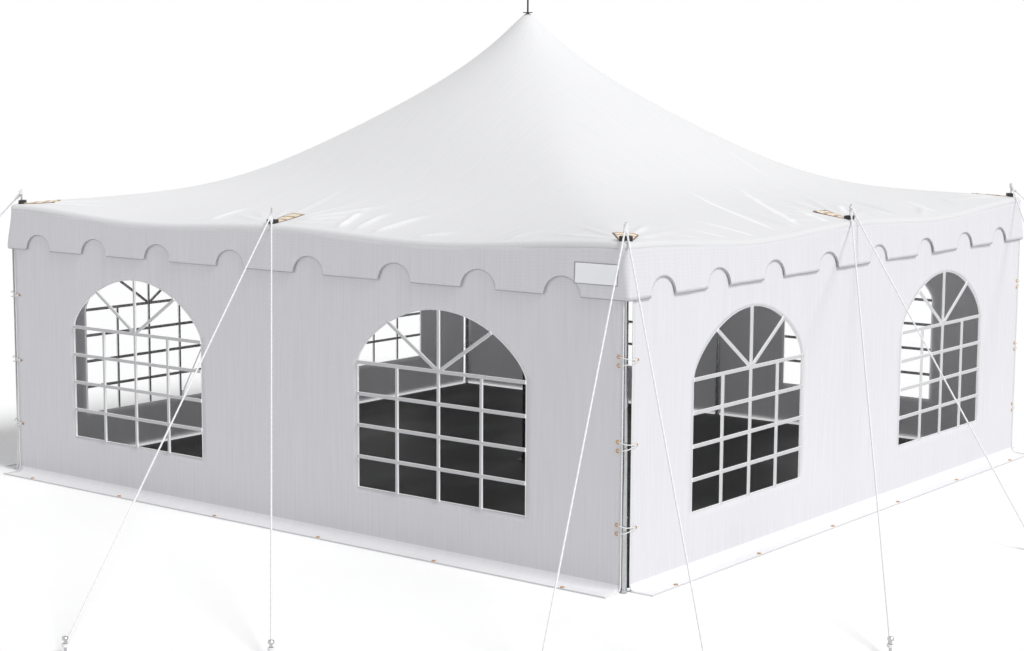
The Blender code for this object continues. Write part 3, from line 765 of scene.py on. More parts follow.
tape_section = ((TAPE_DROP, 0.0), (TAPE_DROP, TAPE_THICKNESS), (TAPE_LAP, TAPE_THICKNESS), (TAPE_LAP, 0.0))
verts, faces = [], []
for spot, (side, path, bottom) in enumerate(round_line):
    local = spot % (len(line) - 1)
    before, after = line[max(local - 1, 0)], line[local + 1]
    run, rise = after[0] - before[0], after[1] - before[1]
    length = math.hypot(run, rise)
    down_along, down_height = rise / length, -run / length
    for drop, behind in tape_section:
        shifted = path + down_along * drop if abs(path) < CORNER_PATH_START else path
        place, way = valance_point(shifted, bottom)
        place = place + way * (ripple(path, 1.0, side + 1.0) - TAPE_BEHIND - behind)
        verts.append(side_turns[side] @ np.array((place.x, -place.y, bottom + down_height * drop)))
for spot in range(around):
    here, there = 4 * spot, 4 * ((spot + 1) % around)
    for corner in range(4):
        beside = (corner + 1) % 4
        faces.append((here + corner, here + beside, there + beside, there + corner))
edge_tape = new_piece("valance_edge_tape_painted_shadow", verts, faces, tape)
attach(edge_tape, "root")


# Window walls: four panels of coated cloth with a fine reinforcing grid, hung inside the valance. Each has
# two arched openings and a skirt that turns out on the ground, coloured paler than the wall as painted light,
# with rolled hems and brass grommets. Its right end laps over the corner pole. Its inner face has a little
# glow of its own: painted light, for the daylight through the cloth.
WALL_OUT = 3.0587
WALL_LOW_LEFT = -3.004
WALL_LOW_RIGHT = 3.031
WALL_TOP = 2.045
WALL_STEP = 0.05
WALL_GRID = 0.016
WALL_WAVE = 0.0012
WAVES_END_AT, WAVES_END_OVER = 2.90, 0.25
WAVES_BEGIN_AT, WAVES_BEGIN_OVER = 0.12, 0.3
SKIRT_ROWS, LOW_ROWS, WINDOW_ROWS, HIGH_ROWS = 12, 7, 18, 14
WALL_ROWS = SKIRT_ROWS + LOW_ROWS + WINDOW_ROWS + HIGH_ROWS + 1
POLE_HUG = 0.0035
POLE_HUG_FROM = 2.940
POLE_HUG_OVER = 0.06
SKIRT_RADIUS = 0.045
SKIRT_REACH = 0.175
WINDOW_CENTRE = 1.530
WINDOW_HALF = 0.740
WINDOW_SILL = 0.384
WINDOW_SPRING = 1.282
WINDOW_RISE = 0.424
ARCH_ROUNDNESS = 0.55
ARCH_STEPS = 32
WALL_CLOTH = 0.0020
WALL_LIFT = WALL_CLOTH + 0.0005
SKIRT_TOP = WALL_LIFT + SKIRT_RADIUS
HEM_RADIUS = 0.0045
HEM_BELOW_TOP = 0.02
HEM_STEP = 0.1
HEM_STEPS = 20
HEM_SUNK_SHARE = 0.3
HEM_ABOVE_SKIRT = 0.02
HEM_OFF_GROUND = 0.0005
TOE_STEPS = 60
GROMMET_PLACES = (-2.67, -1.60, -0.53, 0.53, 1.60, 2.67)
GROMMET_OUT = 0.137
GROMMET_LIFT = 0.003
GROMMET_RADIUS = 0.0115
GROMMET_WIRE = 0.0038
WALL_WHITE = (0.724, 0.720, 0.748, 1.0)
WALL_SHADE = (0.646, 0.642, 0.673, 1.0)
LINING_PAINTED_GLOW = 0.045
SKIRT_PAINTED_LIGHT_WHITE = (0.900, 0.898, 0.915, 1.0)
SKIRT_PAINTED_LIGHT_SHADE = (0.820, 0.818, 0.840, 1.0)
TOE_COLOUR = (0.62, 0.62, 0.63, 1.0)
BRASS_COLOUR = (0.66, 0.40, 0.20, 1.0)
BRASS_DULL_COLOUR = (0.42, 0.24, 0.12, 1.0)
EAST = Vector((1, 0, 0))
NORTH = Vector((0, 1, 0))
SKYWARD = Vector((0, 0, 1))


def wall_columns():
    """Distances along the wall where its mesh has a column, closest together round the arches."""
    spots = {WALL_LOW_LEFT, WALL_LOW_RIGHT}
    for centre in (-WINDOW_CENTRE, WINDOW_CENTRE):
        for step in range(ARCH_STEPS + 1):
            spots.add(round(centre - WINDOW_HALF * math.cos(math.pi * step / ARCH_STEPS), 6))
    stops = [WALL_LOW_LEFT, -WINDOW_CENTRE - WINDOW_HALF, -WINDOW_CENTRE + WINDOW_HALF,
             WINDOW_CENTRE - WINDOW_HALF, WINDOW_CENTRE + WINDOW_HALF, WALL_LOW_RIGHT]
    for begin, end in zip(stops[::2], stops[1::2]):
        count = math.ceil((end - begin) / WALL_STEP)
        for step in range(1, count):
            spots.add(begin + (end - begin) * step / count)
    return sorted(spots)


def arch_rise(off):
    """Height of an arch over its spring line, from off 0 at the middle to 1 at the jamb.

    It lies between an ellipse and a parabola.
    """
    rest = max(1.0 - off * off, 0.0)
    return WINDOW_RISE * (ARCH_ROUNDNESS * math.sqrt(rest) + (1 - ARCH_ROUNDNESS) * rest)


def window_at(along):
    """The height of a window's arch over its spring line at a place along the wall, or None beside it."""
    for centre in (-WINDOW_CENTRE, WINDOW_CENTRE):
        off = (along - centre) / WINDOW_HALF
        if abs(off) <= 1.0 + 1e-6:
            return arch_rise(off)
    return None


def skirt_profile(share_down):
    """(out, height) along the skirt, from the upright wall at 0 to its toe at 1."""
    bend = SKIRT_RADIUS * math.pi / 2
    flat = SKIRT_REACH - SKIRT_RADIUS
    path = share_down * (bend + flat)
    if path < bend:
        angle = path / SKIRT_RADIUS
        return SKIRT_RADIUS * (1 - math.cos(angle)), WALL_LIFT + SKIRT_RADIUS * (1 - math.sin(angle))
    return SKIRT_RADIUS + path - bend, WALL_LIFT


def wall_profile(row, spring):
    """(out, height) of one row of the wall's mesh, in a column whose arch or spring line is at a height."""
    if row <= SKIRT_ROWS:
        return skirt_profile(1 - row / SKIRT_ROWS)
    row -= SKIRT_ROWS
    if row <= LOW_ROWS:
        return 0.0, SKIRT_TOP + (WINDOW_SILL - SKIRT_TOP) * row / LOW_ROWS
    row -= LOW_ROWS
    if row <= WINDOW_ROWS:
        return 0.0, WINDOW_SILL + (spring - WINDOW_SILL) * row / WINDOW_ROWS
    return 0.0, spring + (WALL_TOP - spring) * (row - WINDOW_ROWS) / HIGH_ROWS


def cloth_there(row, column):
    """Whether a cell of the wall's mesh is cloth: all of it but the two window openings."""
    beside_window = SKIRT_ROWS + LOW_ROWS <= row < SKIRT_ROWS + LOW_ROWS + WINDOW_ROWS
    return not (beside_window and window_at((columns[column] + columns[column + 1]) / 2) is not None)


def slack(along, height, seed):
    """Small waves of the hanging wall, none at its hems, and the end that laps over the corner pole."""
    wave = math.sin(along * 4.3 + seed * 2.0) * math.sin(height * 1.9 + seed)
    wave += 0.5 * math.sin(along * 9.1 + 1.3 * seed + height)
    edge_fade = float(smoothstep((WAVES_END_AT - abs(along)) / WAVES_END_OVER)
                      * smoothstep((height - WAVES_BEGIN_AT) / WAVES_BEGIN_OVER))
    lap = POLE_HUG * float(smoothstep((along - POLE_HUG_FROM) / POLE_HUG_OVER))
    return -WALL_WAVE + WALL_WAVE * wave * edge_fade + lap


def rod(verts, faces, points, radius, sides=8, closed=False):
    """Adds a round rod along a path of points to a mesh's lists."""
    first = len(verts)
    count = len(points)
    across = None
    for i, point in enumerate(points):
        ahead = points[(i + 1) % count] if closed or i < count - 1 else point
        behind = points[i - 1] if closed or i > 0 else point
        way = (ahead - behind).normalized()
        if across is None:
            across = way.orthogonal()
        across = (across - way * across.dot(way)).normalized()
        over = way.cross(across)
        for j in range(sides):
            angle = 2 * math.pi * j / sides
            verts.append(point + (across * math.cos(angle) + over * math.sin(angle)) * radius)
    for i in range(count if closed else count - 1):
        here, there = first + i * sides, first + (i + 1) % count * sides
        for j in range(sides):
            beside = (j + 1) % sides
            faces.append((here + j, here + beside, there + beside, there + j))
    if not closed:
        faces.append(tuple(first + j for j in range(sides))[::-1])
        faces.append(tuple(first + (count - 1) * sides + j for j in range(sides)))


def circle(centre, across, over, radius, steps=20):
    """Points of a circle in the plane of two directions."""
    points = []
    for i in range(steps):
        angle = 2 * math.pi * i / steps
        points.append(centre + (across * math.cos(angle) + over * math.sin(angle)) * radius)
    return points


wall_cloth = cloth_finish("wall_cloth", WALL_WHITE, WALL_SHADE, 0.55, WALL_GRID)
# Painted light: the skirt's cloth is paler than the wall's, for the light on it where it lies on the ground.
skirt_cloth_painted_light = cloth_finish("skirt_cloth_painted_light", SKIRT_PAINTED_LIGHT_WHITE, SKIRT_PAINTED_LIGHT_SHADE, 0.55, WALL_GRID)
# Painted light: the inner face of the wall glows a little, for daylight through the thin cloth.
wall_lining_painted_glow = wall_cloth.copy()
wall_lining_painted_glow.name = "wall_lining_painted_glow"
add_glow(wall_lining_painted_glow.node_tree.nodes["Principled BSDF"], LINING_PAINTED_GLOW)
toe_tape = tape_finish("grey_toe_hem", TOE_COLOUR, 0.7, 300.0, 25.0, (0.6, 0.85))
brass, nodes, links, shader = new_finish("brass_grommet", BRASS_COLOUR, 0.3, metallic=1.0)
vary(nodes, links, shader, mottle(nodes, links, 120.0), (BRASS_COLOUR, BRASS_DULL_COLOUR), (0.25, 0.45))

SIDES = ("front", "right", "back", "left")
columns = wall_columns()
for side, side_name in enumerate(SIDES):
    verts, across, down = [], [], []
    for row in range(WALL_ROWS):
        for along in columns:
            out, height = wall_profile(row, WINDOW_SPRING + (window_at(along) or 0.0))
            out += WALL_OUT + slack(along, height, side + 0.5)
            verts.append((along, -out, height))
            across.append(along)
            down.append(WALL_TOP - height + max(out - WALL_OUT, 0.0))
    panel_faces = grid_faces(WALL_ROWS, len(columns), cloth_there)
    panel_cloth = new_piece(f"wall_{side_name}_cloth", verts, panel_faces, wall_cloth, side, 60)
    map_cloth(panel_cloth, np.array(across), np.array(down))
    used = bmesh.new()
    used.from_mesh(panel_cloth.data)
    bmesh.ops.delete(used, geom=[v for v in used.verts if not v.link_faces], context="VERTS")
    used.to_mesh(panel_cloth.data)
    used.free()
    for finish in (wall_lining_painted_glow, skirt_cloth_painted_light, wall_lining_painted_glow):
        panel_cloth.data.materials.append(finish)
    for face in panel_cloth.data.polygons:
        if face.center.z < SKIRT_TOP:
            face.material_index = 2
    thicken(panel_cloth, WALL_CLOTH).material_offset = 1
    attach(panel_cloth, "root")
    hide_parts("wall_" + side_name)

    verts, faces = [], []
    for along, lap in ((WALL_LOW_LEFT + HEM_RADIUS, 0.0), (WALL_LOW_RIGHT - HEM_RADIUS, POLE_HUG)):
        hem_out = WALL_OUT + lap - HEM_RADIUS * HEM_SUNK_SHARE
        path = [Vector((along, -hem_out, WALL_TOP - HEM_BELOW_TOP - HEM_STEP * i))
                for i in range(HEM_STEPS)]
        path = [point for point in path if point.z > SKIRT_TOP + HEM_ABOVE_SKIRT]
        for i in range(SKIRT_ROWS + 1):
            out, height = skirt_profile(i / SKIRT_ROWS)
            path.append(Vector((along, -WALL_OUT - lap - out, max(height, HEM_RADIUS + HEM_OFF_GROUND))))
        rod(verts, faces, path, HEM_RADIUS)
    end_hems = new_piece(f"wall_{side_name}_end_hems", verts, faces, webbing, side, 50)
    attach(end_hems, "root")

    toe_out = WALL_OUT + SKIRT_REACH - HEM_RADIUS
    toe_run = WALL_LOW_RIGHT - WALL_LOW_LEFT
    toe = [Vector((WALL_LOW_LEFT + toe_run * i / TOE_STEPS, -toe_out, HEM_RADIUS))
           for i in range(TOE_STEPS + 1)]
    verts, faces = [], []
    rod(verts, faces, toe, HEM_RADIUS)
    toe_hem = new_piece(f"wall_{side_name}_toe_hem", verts, faces, toe_tape, side, 50)
    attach(toe_hem, "root")

    verts, faces = [], []
    for along in GROMMET_PLACES:
        eye = Vector((along, -WALL_OUT - GROMMET_OUT, WALL_CLOTH + GROMMET_LIFT))
        rod(verts, faces, circle(eye, EAST, NORTH, GROMMET_RADIUS), GROMMET_WIRE, closed=True)
    grommets = new_piece(f"skirt_{side_name}_grommets", verts, faces, brass, side, 50)
    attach(grommets, "root")


# Windows: clear flexible film welded behind each opening, whose sheets are the frame's own, with white bars
# and a white border welded on in the pattern of a fanlight: four panes wide and four high under the fan. The
# bars' cut edges are painted lighter than their faces and glow a little: a painted highlight and painted
# light.
UPRIGHT_WIDTH = 0.021
CROSSBAR_WIDTH = 0.025
FAN_BAR_WIDTH = 0.024
BAR_OUT = 3.0670
BAR_DEPTH = 0.015
BAR_LAP = 0.0008
BAR_ROUNDING = 0.0012
BAR_CLEAR_OF_ARCH = 0.002
BAR_CLEAR_OF_JAMB = 0.001
PANES_HIGH = 4
BORDER_WIDTH = 0.0035
BORDER_OUT = 3.0594
BORDER_DEPTH = 0.018
BORDER_STEPS = 40
FAN_REACH = 0.61
FILM_COLOUR = (0.95, 0.97, 0.98, 1.0)
FILM_OPACITY = 0.006
BAR_WHITE = (0.58, 0.58, 0.59, 1.0)
BAR_SHADE = (0.52, 0.52, 0.53, 1.0)
EDGE_PAINTED_HIGHLIGHT_WHITE = (0.84, 0.84, 0.85, 1.0)
EDGE_PAINTED_HIGHLIGHT_SHADE = (0.76, 0.76, 0.77, 1.0)
EDGE_PAINTED_GLOW = 0.28

film, nodes, links, shader = new_finish("clear_film", FILM_COLOUR, 0.06)
shader.inputs["Alpha"].default_value = FILM_OPACITY
shader.inputs["IOR"].default_value = 1.45
pull = mottle(nodes, links, 3.0, stretch=(1.0, 1.0, 0.35), detail=2.0)
links.new(spread(nodes, links, pull, 0.04, 0.12), shader.inputs["Roughness"])
relief(nodes, links, shader, pull, 0.004, 0.3)
for name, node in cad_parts.items():
    if name.startswith("window_"):
        node.data.materials[0] = film


def strip_finish(name, colours, glow):
    """White plastic strip, a little cloudy, with a glow of its own: none on the faces, painted light on the
    cut edges.
    """
    finish, nodes, links, shader = new_finish(name, colours[0], 0.45)
    grain = mottle(nodes, links, 40.0)
    vary(nodes, links, shader, grain, colours, (0.4, 0.55))
    relief(nodes, links, shader, grain, 0.0005, 0.4)
    add_glow(shader, glow)
    return finish


def bar(verts, faces, begin, end, width, layer=0):
    """Adds a flat bar between two (along, height) points of the window. Layers lap under each other."""
    run, rise = end[0] - begin[0], end[1] - begin[1]
    length = math.hypot(run, rise)
    side_along, side_height = -rise / length * width / 2, run / length * width / 2
    first = len(verts)
    for out in (BAR_OUT - BAR_LAP * layer, BAR_OUT - BAR_DEPTH + BAR_LAP * layer):
        for (along, height), sign in ((begin, 1), (end, 1), (end, -1), (begin, -1)):
            verts.append((along + sign * side_along, -out, height + sign * side_height))
    faces += [tuple(first + i for i in face) for face in
              ((0, 1, 2, 3), (7, 6, 5, 4), (0, 4, 5, 1), (1, 5, 6, 2), (2, 6, 7, 3), (3, 7, 4, 0))]


def opening_line(centre, inset):
    """(along, height) points round a window opening, drawn in by an inset."""
    half = WINDOW_HALF - inset
    points = [(centre + half, WINDOW_SILL + inset)]
    for step in range(BORDER_STEPS + 1):
        angle = math.pi * step / BORDER_STEPS
        rise = arch_rise(math.cos(angle)) * (1 - inset / WINDOW_RISE)
        points.append((centre + half * math.cos(angle), WINDOW_SPRING + rise))
    points.append((centre - half, WINDOW_SILL + inset))
    return points


bar_strip = strip_finish("white_bar_strip", (BAR_WHITE, BAR_SHADE), 0.0)
# Painted highlight: the cut edges get a lighter white than the faces, and a glow of painted light.
bar_edge = strip_finish("white_bar_edge_painted_highlight", (EDGE_PAINTED_HIGHLIGHT_WHITE, EDGE_PAINTED_HIGHLIGHT_SHADE), EDGE_PAINTED_GLOW)
for side, side_name in enumerate(SIDES):
    outward = Matrix.Rotation(side * math.pi / 2, 3, "Z") @ -NORTH
    for number, centre in enumerate((-WINDOW_CENTRE, WINDOW_CENTRE), start=1):
        verts, faces = [], []
        for step in (-1, 0, 1):
            along = centre + step * WINDOW_HALF / 2
            top = WINDOW_SPRING + (WINDOW_RISE - BAR_CLEAR_OF_ARCH if step == 0 else 0.0)
            bar(verts, faces, (along, WINDOW_SILL), (along, top), UPRIGHT_WIDTH)
        left = centre - WINDOW_HALF + BAR_CLEAR_OF_JAMB
        right = centre + WINDOW_HALF - BAR_CLEAR_OF_JAMB
        for step in range(1, PANES_HIGH + 1):
            height = WINDOW_SILL + (WINDOW_SPRING - WINDOW_SILL) * step / PANES_HIGH
            bar(verts, faces, (left, height), (right, height), CROSSBAR_WIDTH, layer=1)
        for sign in (-1, 1):
            tip = (centre + sign * FAN_REACH * WINDOW_HALF, WINDOW_SPRING + arch_rise(FAN_REACH))
            bar(verts, faces, (centre, WINDOW_SPRING), tip, FAN_BAR_WIDTH, layer=2)
        first = len(verts)
        for out in (BORDER_OUT, BORDER_OUT - BORDER_DEPTH):
            for inset in (0.0, BORDER_WIDTH):
                verts += [(along, -out, height) for along, height in opening_line(centre, inset)]
        count = (len(verts) - first) // 4
        for i in range(count):
            j = (i + 1) % count
            for a, b in ((0, 1), (1, 3), (3, 2), (2, 0)):
                near, far = first + a * count, first + b * count
                faces.append((near + i, far + i, far + j, near + j))
        bars = new_piece(f"window_bars_{side_name}_{number}", verts, faces, bar_strip, side)
        bars.data.materials.append(bar_edge)
        # Side faces, the cut edges, take the lighter finish with the painted highlight.
        for face in bars.data.polygons:
            face.material_index = int(abs(face.normal.dot(outward)) < 0.5)
        rounding = bars.modifiers.new("edges", "BEVEL")
        rounding.width = BAR_ROUNDING
        rounding.segments = 2
        rounding.limit_method = "ANGLE"
        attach(bars, "root")


# Pole joints: each side pole is two tubes, one swaged into the other, held by spring buttons. The collar at
# the joint and the steel buttons up the tube are small pressed parts.
POLE_FOOT_CORNER = 3.040
POLE_FOOT_MIDDLE = 3.025
POLE_FOOT_HEIGHT = 0.0033
POLE_RADIUS = 0.0195
POLE_SIDES = 32
COLLAR_HEIGHT = 1.220
COLLAR_CLEAR = 0.0001
COLLAR_PROFILE = ((-0.030, 0.0000), (-0.024, 0.0013), (0.024, 0.0013), (0.030, 0.0000))
BUTTON_HEIGHTS = (0.485, 1.300, 1.590, 1.720)
BUTTON_RADIUS = 0.0045
BUTTON_ROOT = 0.001
BUTTON_STOPS = (0.0035, 0.0045)
BUTTON_ACROSS, BUTTON_OVER = 0.5, 0.866


def turned(verts, faces, rings, sides):
    """Adds the outside of a turned part to a mesh's lists, from its rings of points."""
    first = len(verts)
    for ring in rings:
        verts += ring
    for number in range(len(rings) - 1):
        here, there = first + number * sides, first + (number + 1) * sides
        for i in range(sides):
            j = (i + 1) % sides
            faces.append((here + i, here + j, there + j, there + i))


for place_name, (head_x, head_y) in PINS.items():
    foot_out = POLE_FOOT_MIDDLE if "middle" in place_name else POLE_FOOT_CORNER
    foot_x, foot_y = (math.copysign(foot_out, value) if abs(value) > 1.0 else value
                      for value in (head_x, head_y))
    foot = Vector((foot_x, foot_y, POLE_FOOT_HEIGHT))
    axis = (Vector((head_x, head_y, float(roof_height(head_x, head_y)))) - foot).normalized()
    across = Vector((foot_x, foot_y, 0.0)).normalized()
    across = (across - axis * across.dot(axis)).normalized()
    over = axis.cross(across)
    verts, faces = [], []
    rings = []
    for lift, proud in COLLAR_PROFILE:
        centre = foot + axis * (COLLAR_HEIGHT + lift)
        rings.append(circle(centre, across, over, POLE_RADIUS + COLLAR_CLEAR + proud, POLE_SIDES))
    turned(verts, faces, rings, POLE_SIDES)
    out = (across * BUTTON_ACROSS + over * BUTTON_OVER).normalized()
    for height in BUTTON_HEIGHTS:
        base = foot + axis * height + out * (POLE_RADIUS - BUTTON_ROOT)
        rod(verts, faces, [base] + [base + out * stop for stop in BUTTON_STOPS], BUTTON_RADIUS, 12)
    joint = new_piece("pole_joint_" + place_name, verts, faces, steel, smooth_angle=40)
    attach(joint, "root")


# Corner lashings: where two walls meet, white cord runs from a pair of brass grommets in one wall round to
# an eye in the next, at three heights, and draws the walls together round the corner pole.
LASHING_HEIGHTS = (1.490, 0.945, 0.410)
LASHING_HALF = 0.028
LASHING_FROM_END = 0.038
LASHING_CORD = 0.0036
LASHING_REACH = 0.062
PAIR_EYE_RADIUS, PAIR_EYE_WIRE = 0.0105, 0.0040
SINGLE_EYE_RADIUS, SINGLE_EYE_WIRE = 0.008, 0.0030
EYE_PROUD = 0.002
KNOT_RADIUS, KNOT_CORD = 0.006, 0.0030
KNOT_OUT, KNOT_BEFORE_EYE = 0.010, 0.020
KNOT_ACROSS = Vector((0.6, 0, 0.8)).cross(NORTH)
CORD_COLOUR = (0.88, 0.88, 0.87, 1.0)
CORD_SHADE_COLOUR = (0.70, 0.70, 0.69, 1.0)


def twisted_finish(name, light, dark, pitch):
    """White twisted cord: fibres that wind round it, with grooves between the strands."""
    finish, nodes, links, shader = new_finish(name, light, 0.75)
    fibres = mottle(nodes, links, 1.0 / pitch, detail=6.0)
    vary(nodes, links, shader, fibres, (light, dark), (0.65, 0.85))
    relief(nodes, links, shader, fibres, 0.0008, 0.6)
    return finish


cord_finish = twisted_finish("lashing_cord", CORD_COLOUR, CORD_SHADE_COLOUR, 0.006)
pair_along = WALL_LOW_RIGHT - LASHING_FROM_END
next_wall = WALL_LOW_LEFT + LASHING_REACH

# The cord's way from a grommet of the pair round the pole to the eye, as (x, y, share of the half height).
LASHING_ROUTE = (
    (pair_along, -WALL_OUT + 0.002, 1.0),
    (pair_along + 0.012, -WALL_OUT - 0.007, 0.98),
    (WALL_LOW_RIGHT + 0.010, -WALL_OUT - 0.008, 0.80),
    (WALL_OUT + 0.004, -WALL_OUT - 0.004, 0.62),
    (WALL_OUT + 0.008, WALL_LOW_LEFT - 0.020, 0.45),
    (WALL_OUT + 0.007, next_wall - 0.012, 0.12),
)
for side, corner_name in enumerate(("front_right", "back_right", "back_left", "front_left")):
    verts, faces = [], []
    eye_verts, eye_faces = [], []
    for middle in LASHING_HEIGHTS:
        for sign in (-1, 1):
            eye = Vector((pair_along, -WALL_OUT - EYE_PROUD, middle + sign * LASHING_HALF))
            ring = circle(eye, EAST, SKYWARD, PAIR_EYE_RADIUS)
            rod(eye_verts, eye_faces, ring, PAIR_EYE_WIRE, closed=True)
        eye = Vector((WALL_OUT + EYE_PROUD, next_wall, middle))
        ring = circle(eye, NORTH, SKYWARD, SINGLE_EYE_RADIUS)
        rod(eye_verts, eye_faces, ring, SINGLE_EYE_WIRE, closed=True)
        upper = [Vector((x, y, middle + LASHING_HALF * share)) for x, y, share in LASHING_ROUTE]
        lower = [Vector((x, y, middle - LASHING_HALF * share)) for x, y, share in LASHING_ROUTE]
        rod(verts, faces, upper + lower[::-1], LASHING_CORD)
        knot = Vector((WALL_OUT + KNOT_OUT, next_wall - KNOT_BEFORE_EYE, middle))
        rod(verts, faces, circle(knot, SKYWARD, KNOT_ACROSS, KNOT_RADIUS, 12), KNOT_CORD, closed=True)
    lashing = new_piece("lashing_" + corner_name, verts, faces, cord_finish, side, 60)
    smooth_cord = lashing.modifiers.new("smooth", "SUBSURF")
    smooth_cord.levels = 1
    smooth_cord.render_levels = 1
    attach(lashing, "root")
    eyes = new_piece("lashing_eyes_" + corner_name, eye_verts, eye_faces, brass, side, 50)
    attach(eyes, "root")


# Pin patches: at each pin a fan of cream and tan webbing is sewn to the cover to spread the pull of the guy
# lines, with a black rubber block round the pin at its outer end.
CORNER_PATCH_LENGTH = 0.32
MIDDLE_PATCH_LENGTH = 0.28
CORNER_PATCH_TURN = math.radians(-11.0)
PATCH_PIN_WIDTH = 0.080
PATCH_FAR_WIDTH = 0.175
PATCH_FROM_PIN = 0.012
PATCH_END_ROUND = 0.03
PATCH_FLARE = 0.8
PATCH_EDGE_DROP = 0.5
PATCH_LIFT = 0.0045
PATCH_CLOTH = 0.003
PATCH_STEPS = 26
PATCH_COLUMNS = 12
STRIPE_TURNS = 21.0
STRIPE_BOW = 0.08
STRIPE_SHARE = 0.45
PATCH_EDGE_FROM = 0.86
BLOCK_SIZE = (0.048, 0.086, 0.036)
BLOCK_BEVEL = 0.007
BLOCK_SEAT = 0.26
CREAM_COLOUR = (0.86, 0.76, 0.63, 1.0)
TAN_COLOUR = (0.50, 0.34, 0.21, 1.0)
PATCH_EDGE_COLOUR = (0.20, 0.13, 0.11, 1.0)


def patch_place(nodes, links):
    """A small sewn piece's own places, along and across it, from its cloth map."""
    cloth_map = nodes.new("ShaderNodeUVMap")
    cloth_map.uv_map = "cloth"
    parts = nodes.new("ShaderNodeSeparateXYZ")
    links.new(cloth_map.outputs["UV"], parts.inputs["Vector"])
    return parts.outputs["X"], parts.outputs["Y"]


def beyond(nodes, links, source, limit):
    """1 where a place lies further from the middle than a limit, either way, and 0 within it."""
    return combine(nodes, links, "GREATER_THAN", combine(nodes, links, "ABSOLUTE", source, 0.0), limit)


patch_finish, nodes, links, shader = new_finish("pin_webbing", CREAM_COLOUR, 0.65)
out_from_pin, off_middle = patch_place(nodes, links)
bow = combine(nodes, links, "MULTIPLY", off_middle, off_middle)
stripes = combine(nodes, links, "ADD", out_from_pin, combine(nodes, links, "MULTIPLY", bow, STRIPE_BOW))
stripes = combine(nodes, links, "SINE", combine(nodes, links, "MULTIPLY", stripes, STRIPE_TURNS), 0.0)
stripes = combine(nodes, links, "GREATER_THAN", stripes, STRIPE_SHARE)
striped = two_tone(nodes, links, stripes, CREAM_COLOUR, TAN_COLOUR)
edged = nodes.new("ShaderNodeMix")
edged.data_type = "RGBA"
edged.inputs["B"].default_value = PATCH_EDGE_COLOUR
links.new(beyond(nodes, links, off_middle, PATCH_EDGE_FROM), edged.inputs["Factor"])
links.new(striped, edged.inputs["A"])
links.new(edged.outputs["Result"], shader.inputs["Base Color"])
rough = mottle(nodes, links, 80.0)
links.new(spread(nodes, links, rough, 0.55, 0.8), shader.inputs["Roughness"])
relief(nodes, links, shader, rough, 0.0008, 0.6)

for place_name, (pin_x, pin_y) in PINS.items():
    pin_at = Vector((pin_x, pin_y))
    if "middle" in place_name:
        inward = Vector((-float(round(pin_x / 3)), -float(round(pin_y / 3))))
        patch_length = MIDDLE_PATCH_LENGTH
    else:
        inward = Matrix.Rotation(CORNER_PATCH_TURN, 2) @ (-pin_at).normalized()
        patch_length = CORNER_PATCH_LENGTH
    aside = Vector((-inward.y, inward.x))
    verts, across, down = [], [], []
    for step in range(PATCH_STEPS + 1):
        share = step / PATCH_STEPS
        width = PATCH_PIN_WIDTH + (PATCH_FAR_WIDTH - PATCH_PIN_WIDTH) * share ** PATCH_FLARE
        for column in range(PATCH_COLUMNS + 1):
            off = 2 * column / PATCH_COLUMNS - 1
            length = PATCH_FROM_PIN + (patch_length - PATCH_END_ROUND * off * off * share) * share
            spot = pin_at + inward * length + aside * off * width / 2
            lift = PATCH_LIFT * (1 - PATCH_EDGE_DROP * off ** 4)
            verts.append((spot.x, spot.y, float(cover_height(spot.x, spot.y)) + lift))
            across.append(share)
            down.append(off)
    patch_faces = [face[::-1] for face in grid_faces(PATCH_STEPS + 1, PATCH_COLUMNS + 1)]
    patch = new_piece("pin_patch_" + place_name, verts, patch_faces, patch_finish, smooth_angle=60)
    map_cloth(patch, np.array(across), np.array(down))
    thicken(patch, PATCH_CLOTH)
    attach(patch, "root")

    block = bmesh.new()
    bmesh.ops.create_cube(block, size=1.0)
    bmesh.ops.scale(block, vec=BLOCK_SIZE, verts=block.verts)
    bmesh.ops.bevel(block, geom=block.edges[:], offset=BLOCK_BEVEL, segments=3, profile=0.5, affect="EDGES")
    pad_mesh = bpy.data.meshes.new("pin_block_" + place_name)
    block.to_mesh(pad_mesh)
    block.free()
    pad_mesh.shade_smooth()
    pad_mesh.set_sharp_from_angle(angle=math.radians(40))
    pad_mesh.materials.append(rubber)
    pad_at = Vector((pin_x + inward.x * PATCH_FROM_PIN, pin_y + inward.y * PATCH_FROM_PIN))
    pad_height = float(roof_height(pad_at.x, pad_at.y)) + BLOCK_SIZE[2] * BLOCK_SEAT
    pad_turn = Matrix.Rotation(math.atan2(inward.y, inward.x), 4, "Z")
    pad_mesh.transform(Matrix.Translation((pad_at.x, pad_at.y, pad_height)) @ pad_turn)
    pad = bpy.data.objects.new("pin_block_" + place_name, pad_mesh)
    bpy.context.scene.collection.objects.link(pad)
    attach(pad, "root")


# Guy lines: white three-strand rope, looped twice over the pin, tied off with a whipping below it, and run
# taut to a steel stake with a round head, where it ends in a second loop. Each replaces its plain solid.
ROPE_RADIUS = 0.0065
ROPE_TWIST = 0.055
ROPE_STEP = 0.012
ROPE_SIDES = 12
ROPE_CLEAR = 0.020
PIN_LOOP = {"radius": 0.0115, "cord": 0.0048, "lifts": (-0.004, 0.004), "steps": 16}
STAKE_LOOP = {"radius": 0.0165, "cord": 0.0050, "lifts": (-0.005, 0.004), "steps": 18}
STAKE_LOOP_HEIGHT = 0.060
STAKE_PROFILE = ((0.0, 0.0085), (0.088, 0.0085), (0.092, 0.0185), (0.104, 0.0190), (0.110, 0.0150))
STAKE_SIDES = 20
WHIPPING_RADIUS = 0.0078
WHIPPING_CORD = 0.0042
WHIPPING_PITCH = 0.0085
WHIPPING_STEPS = 14
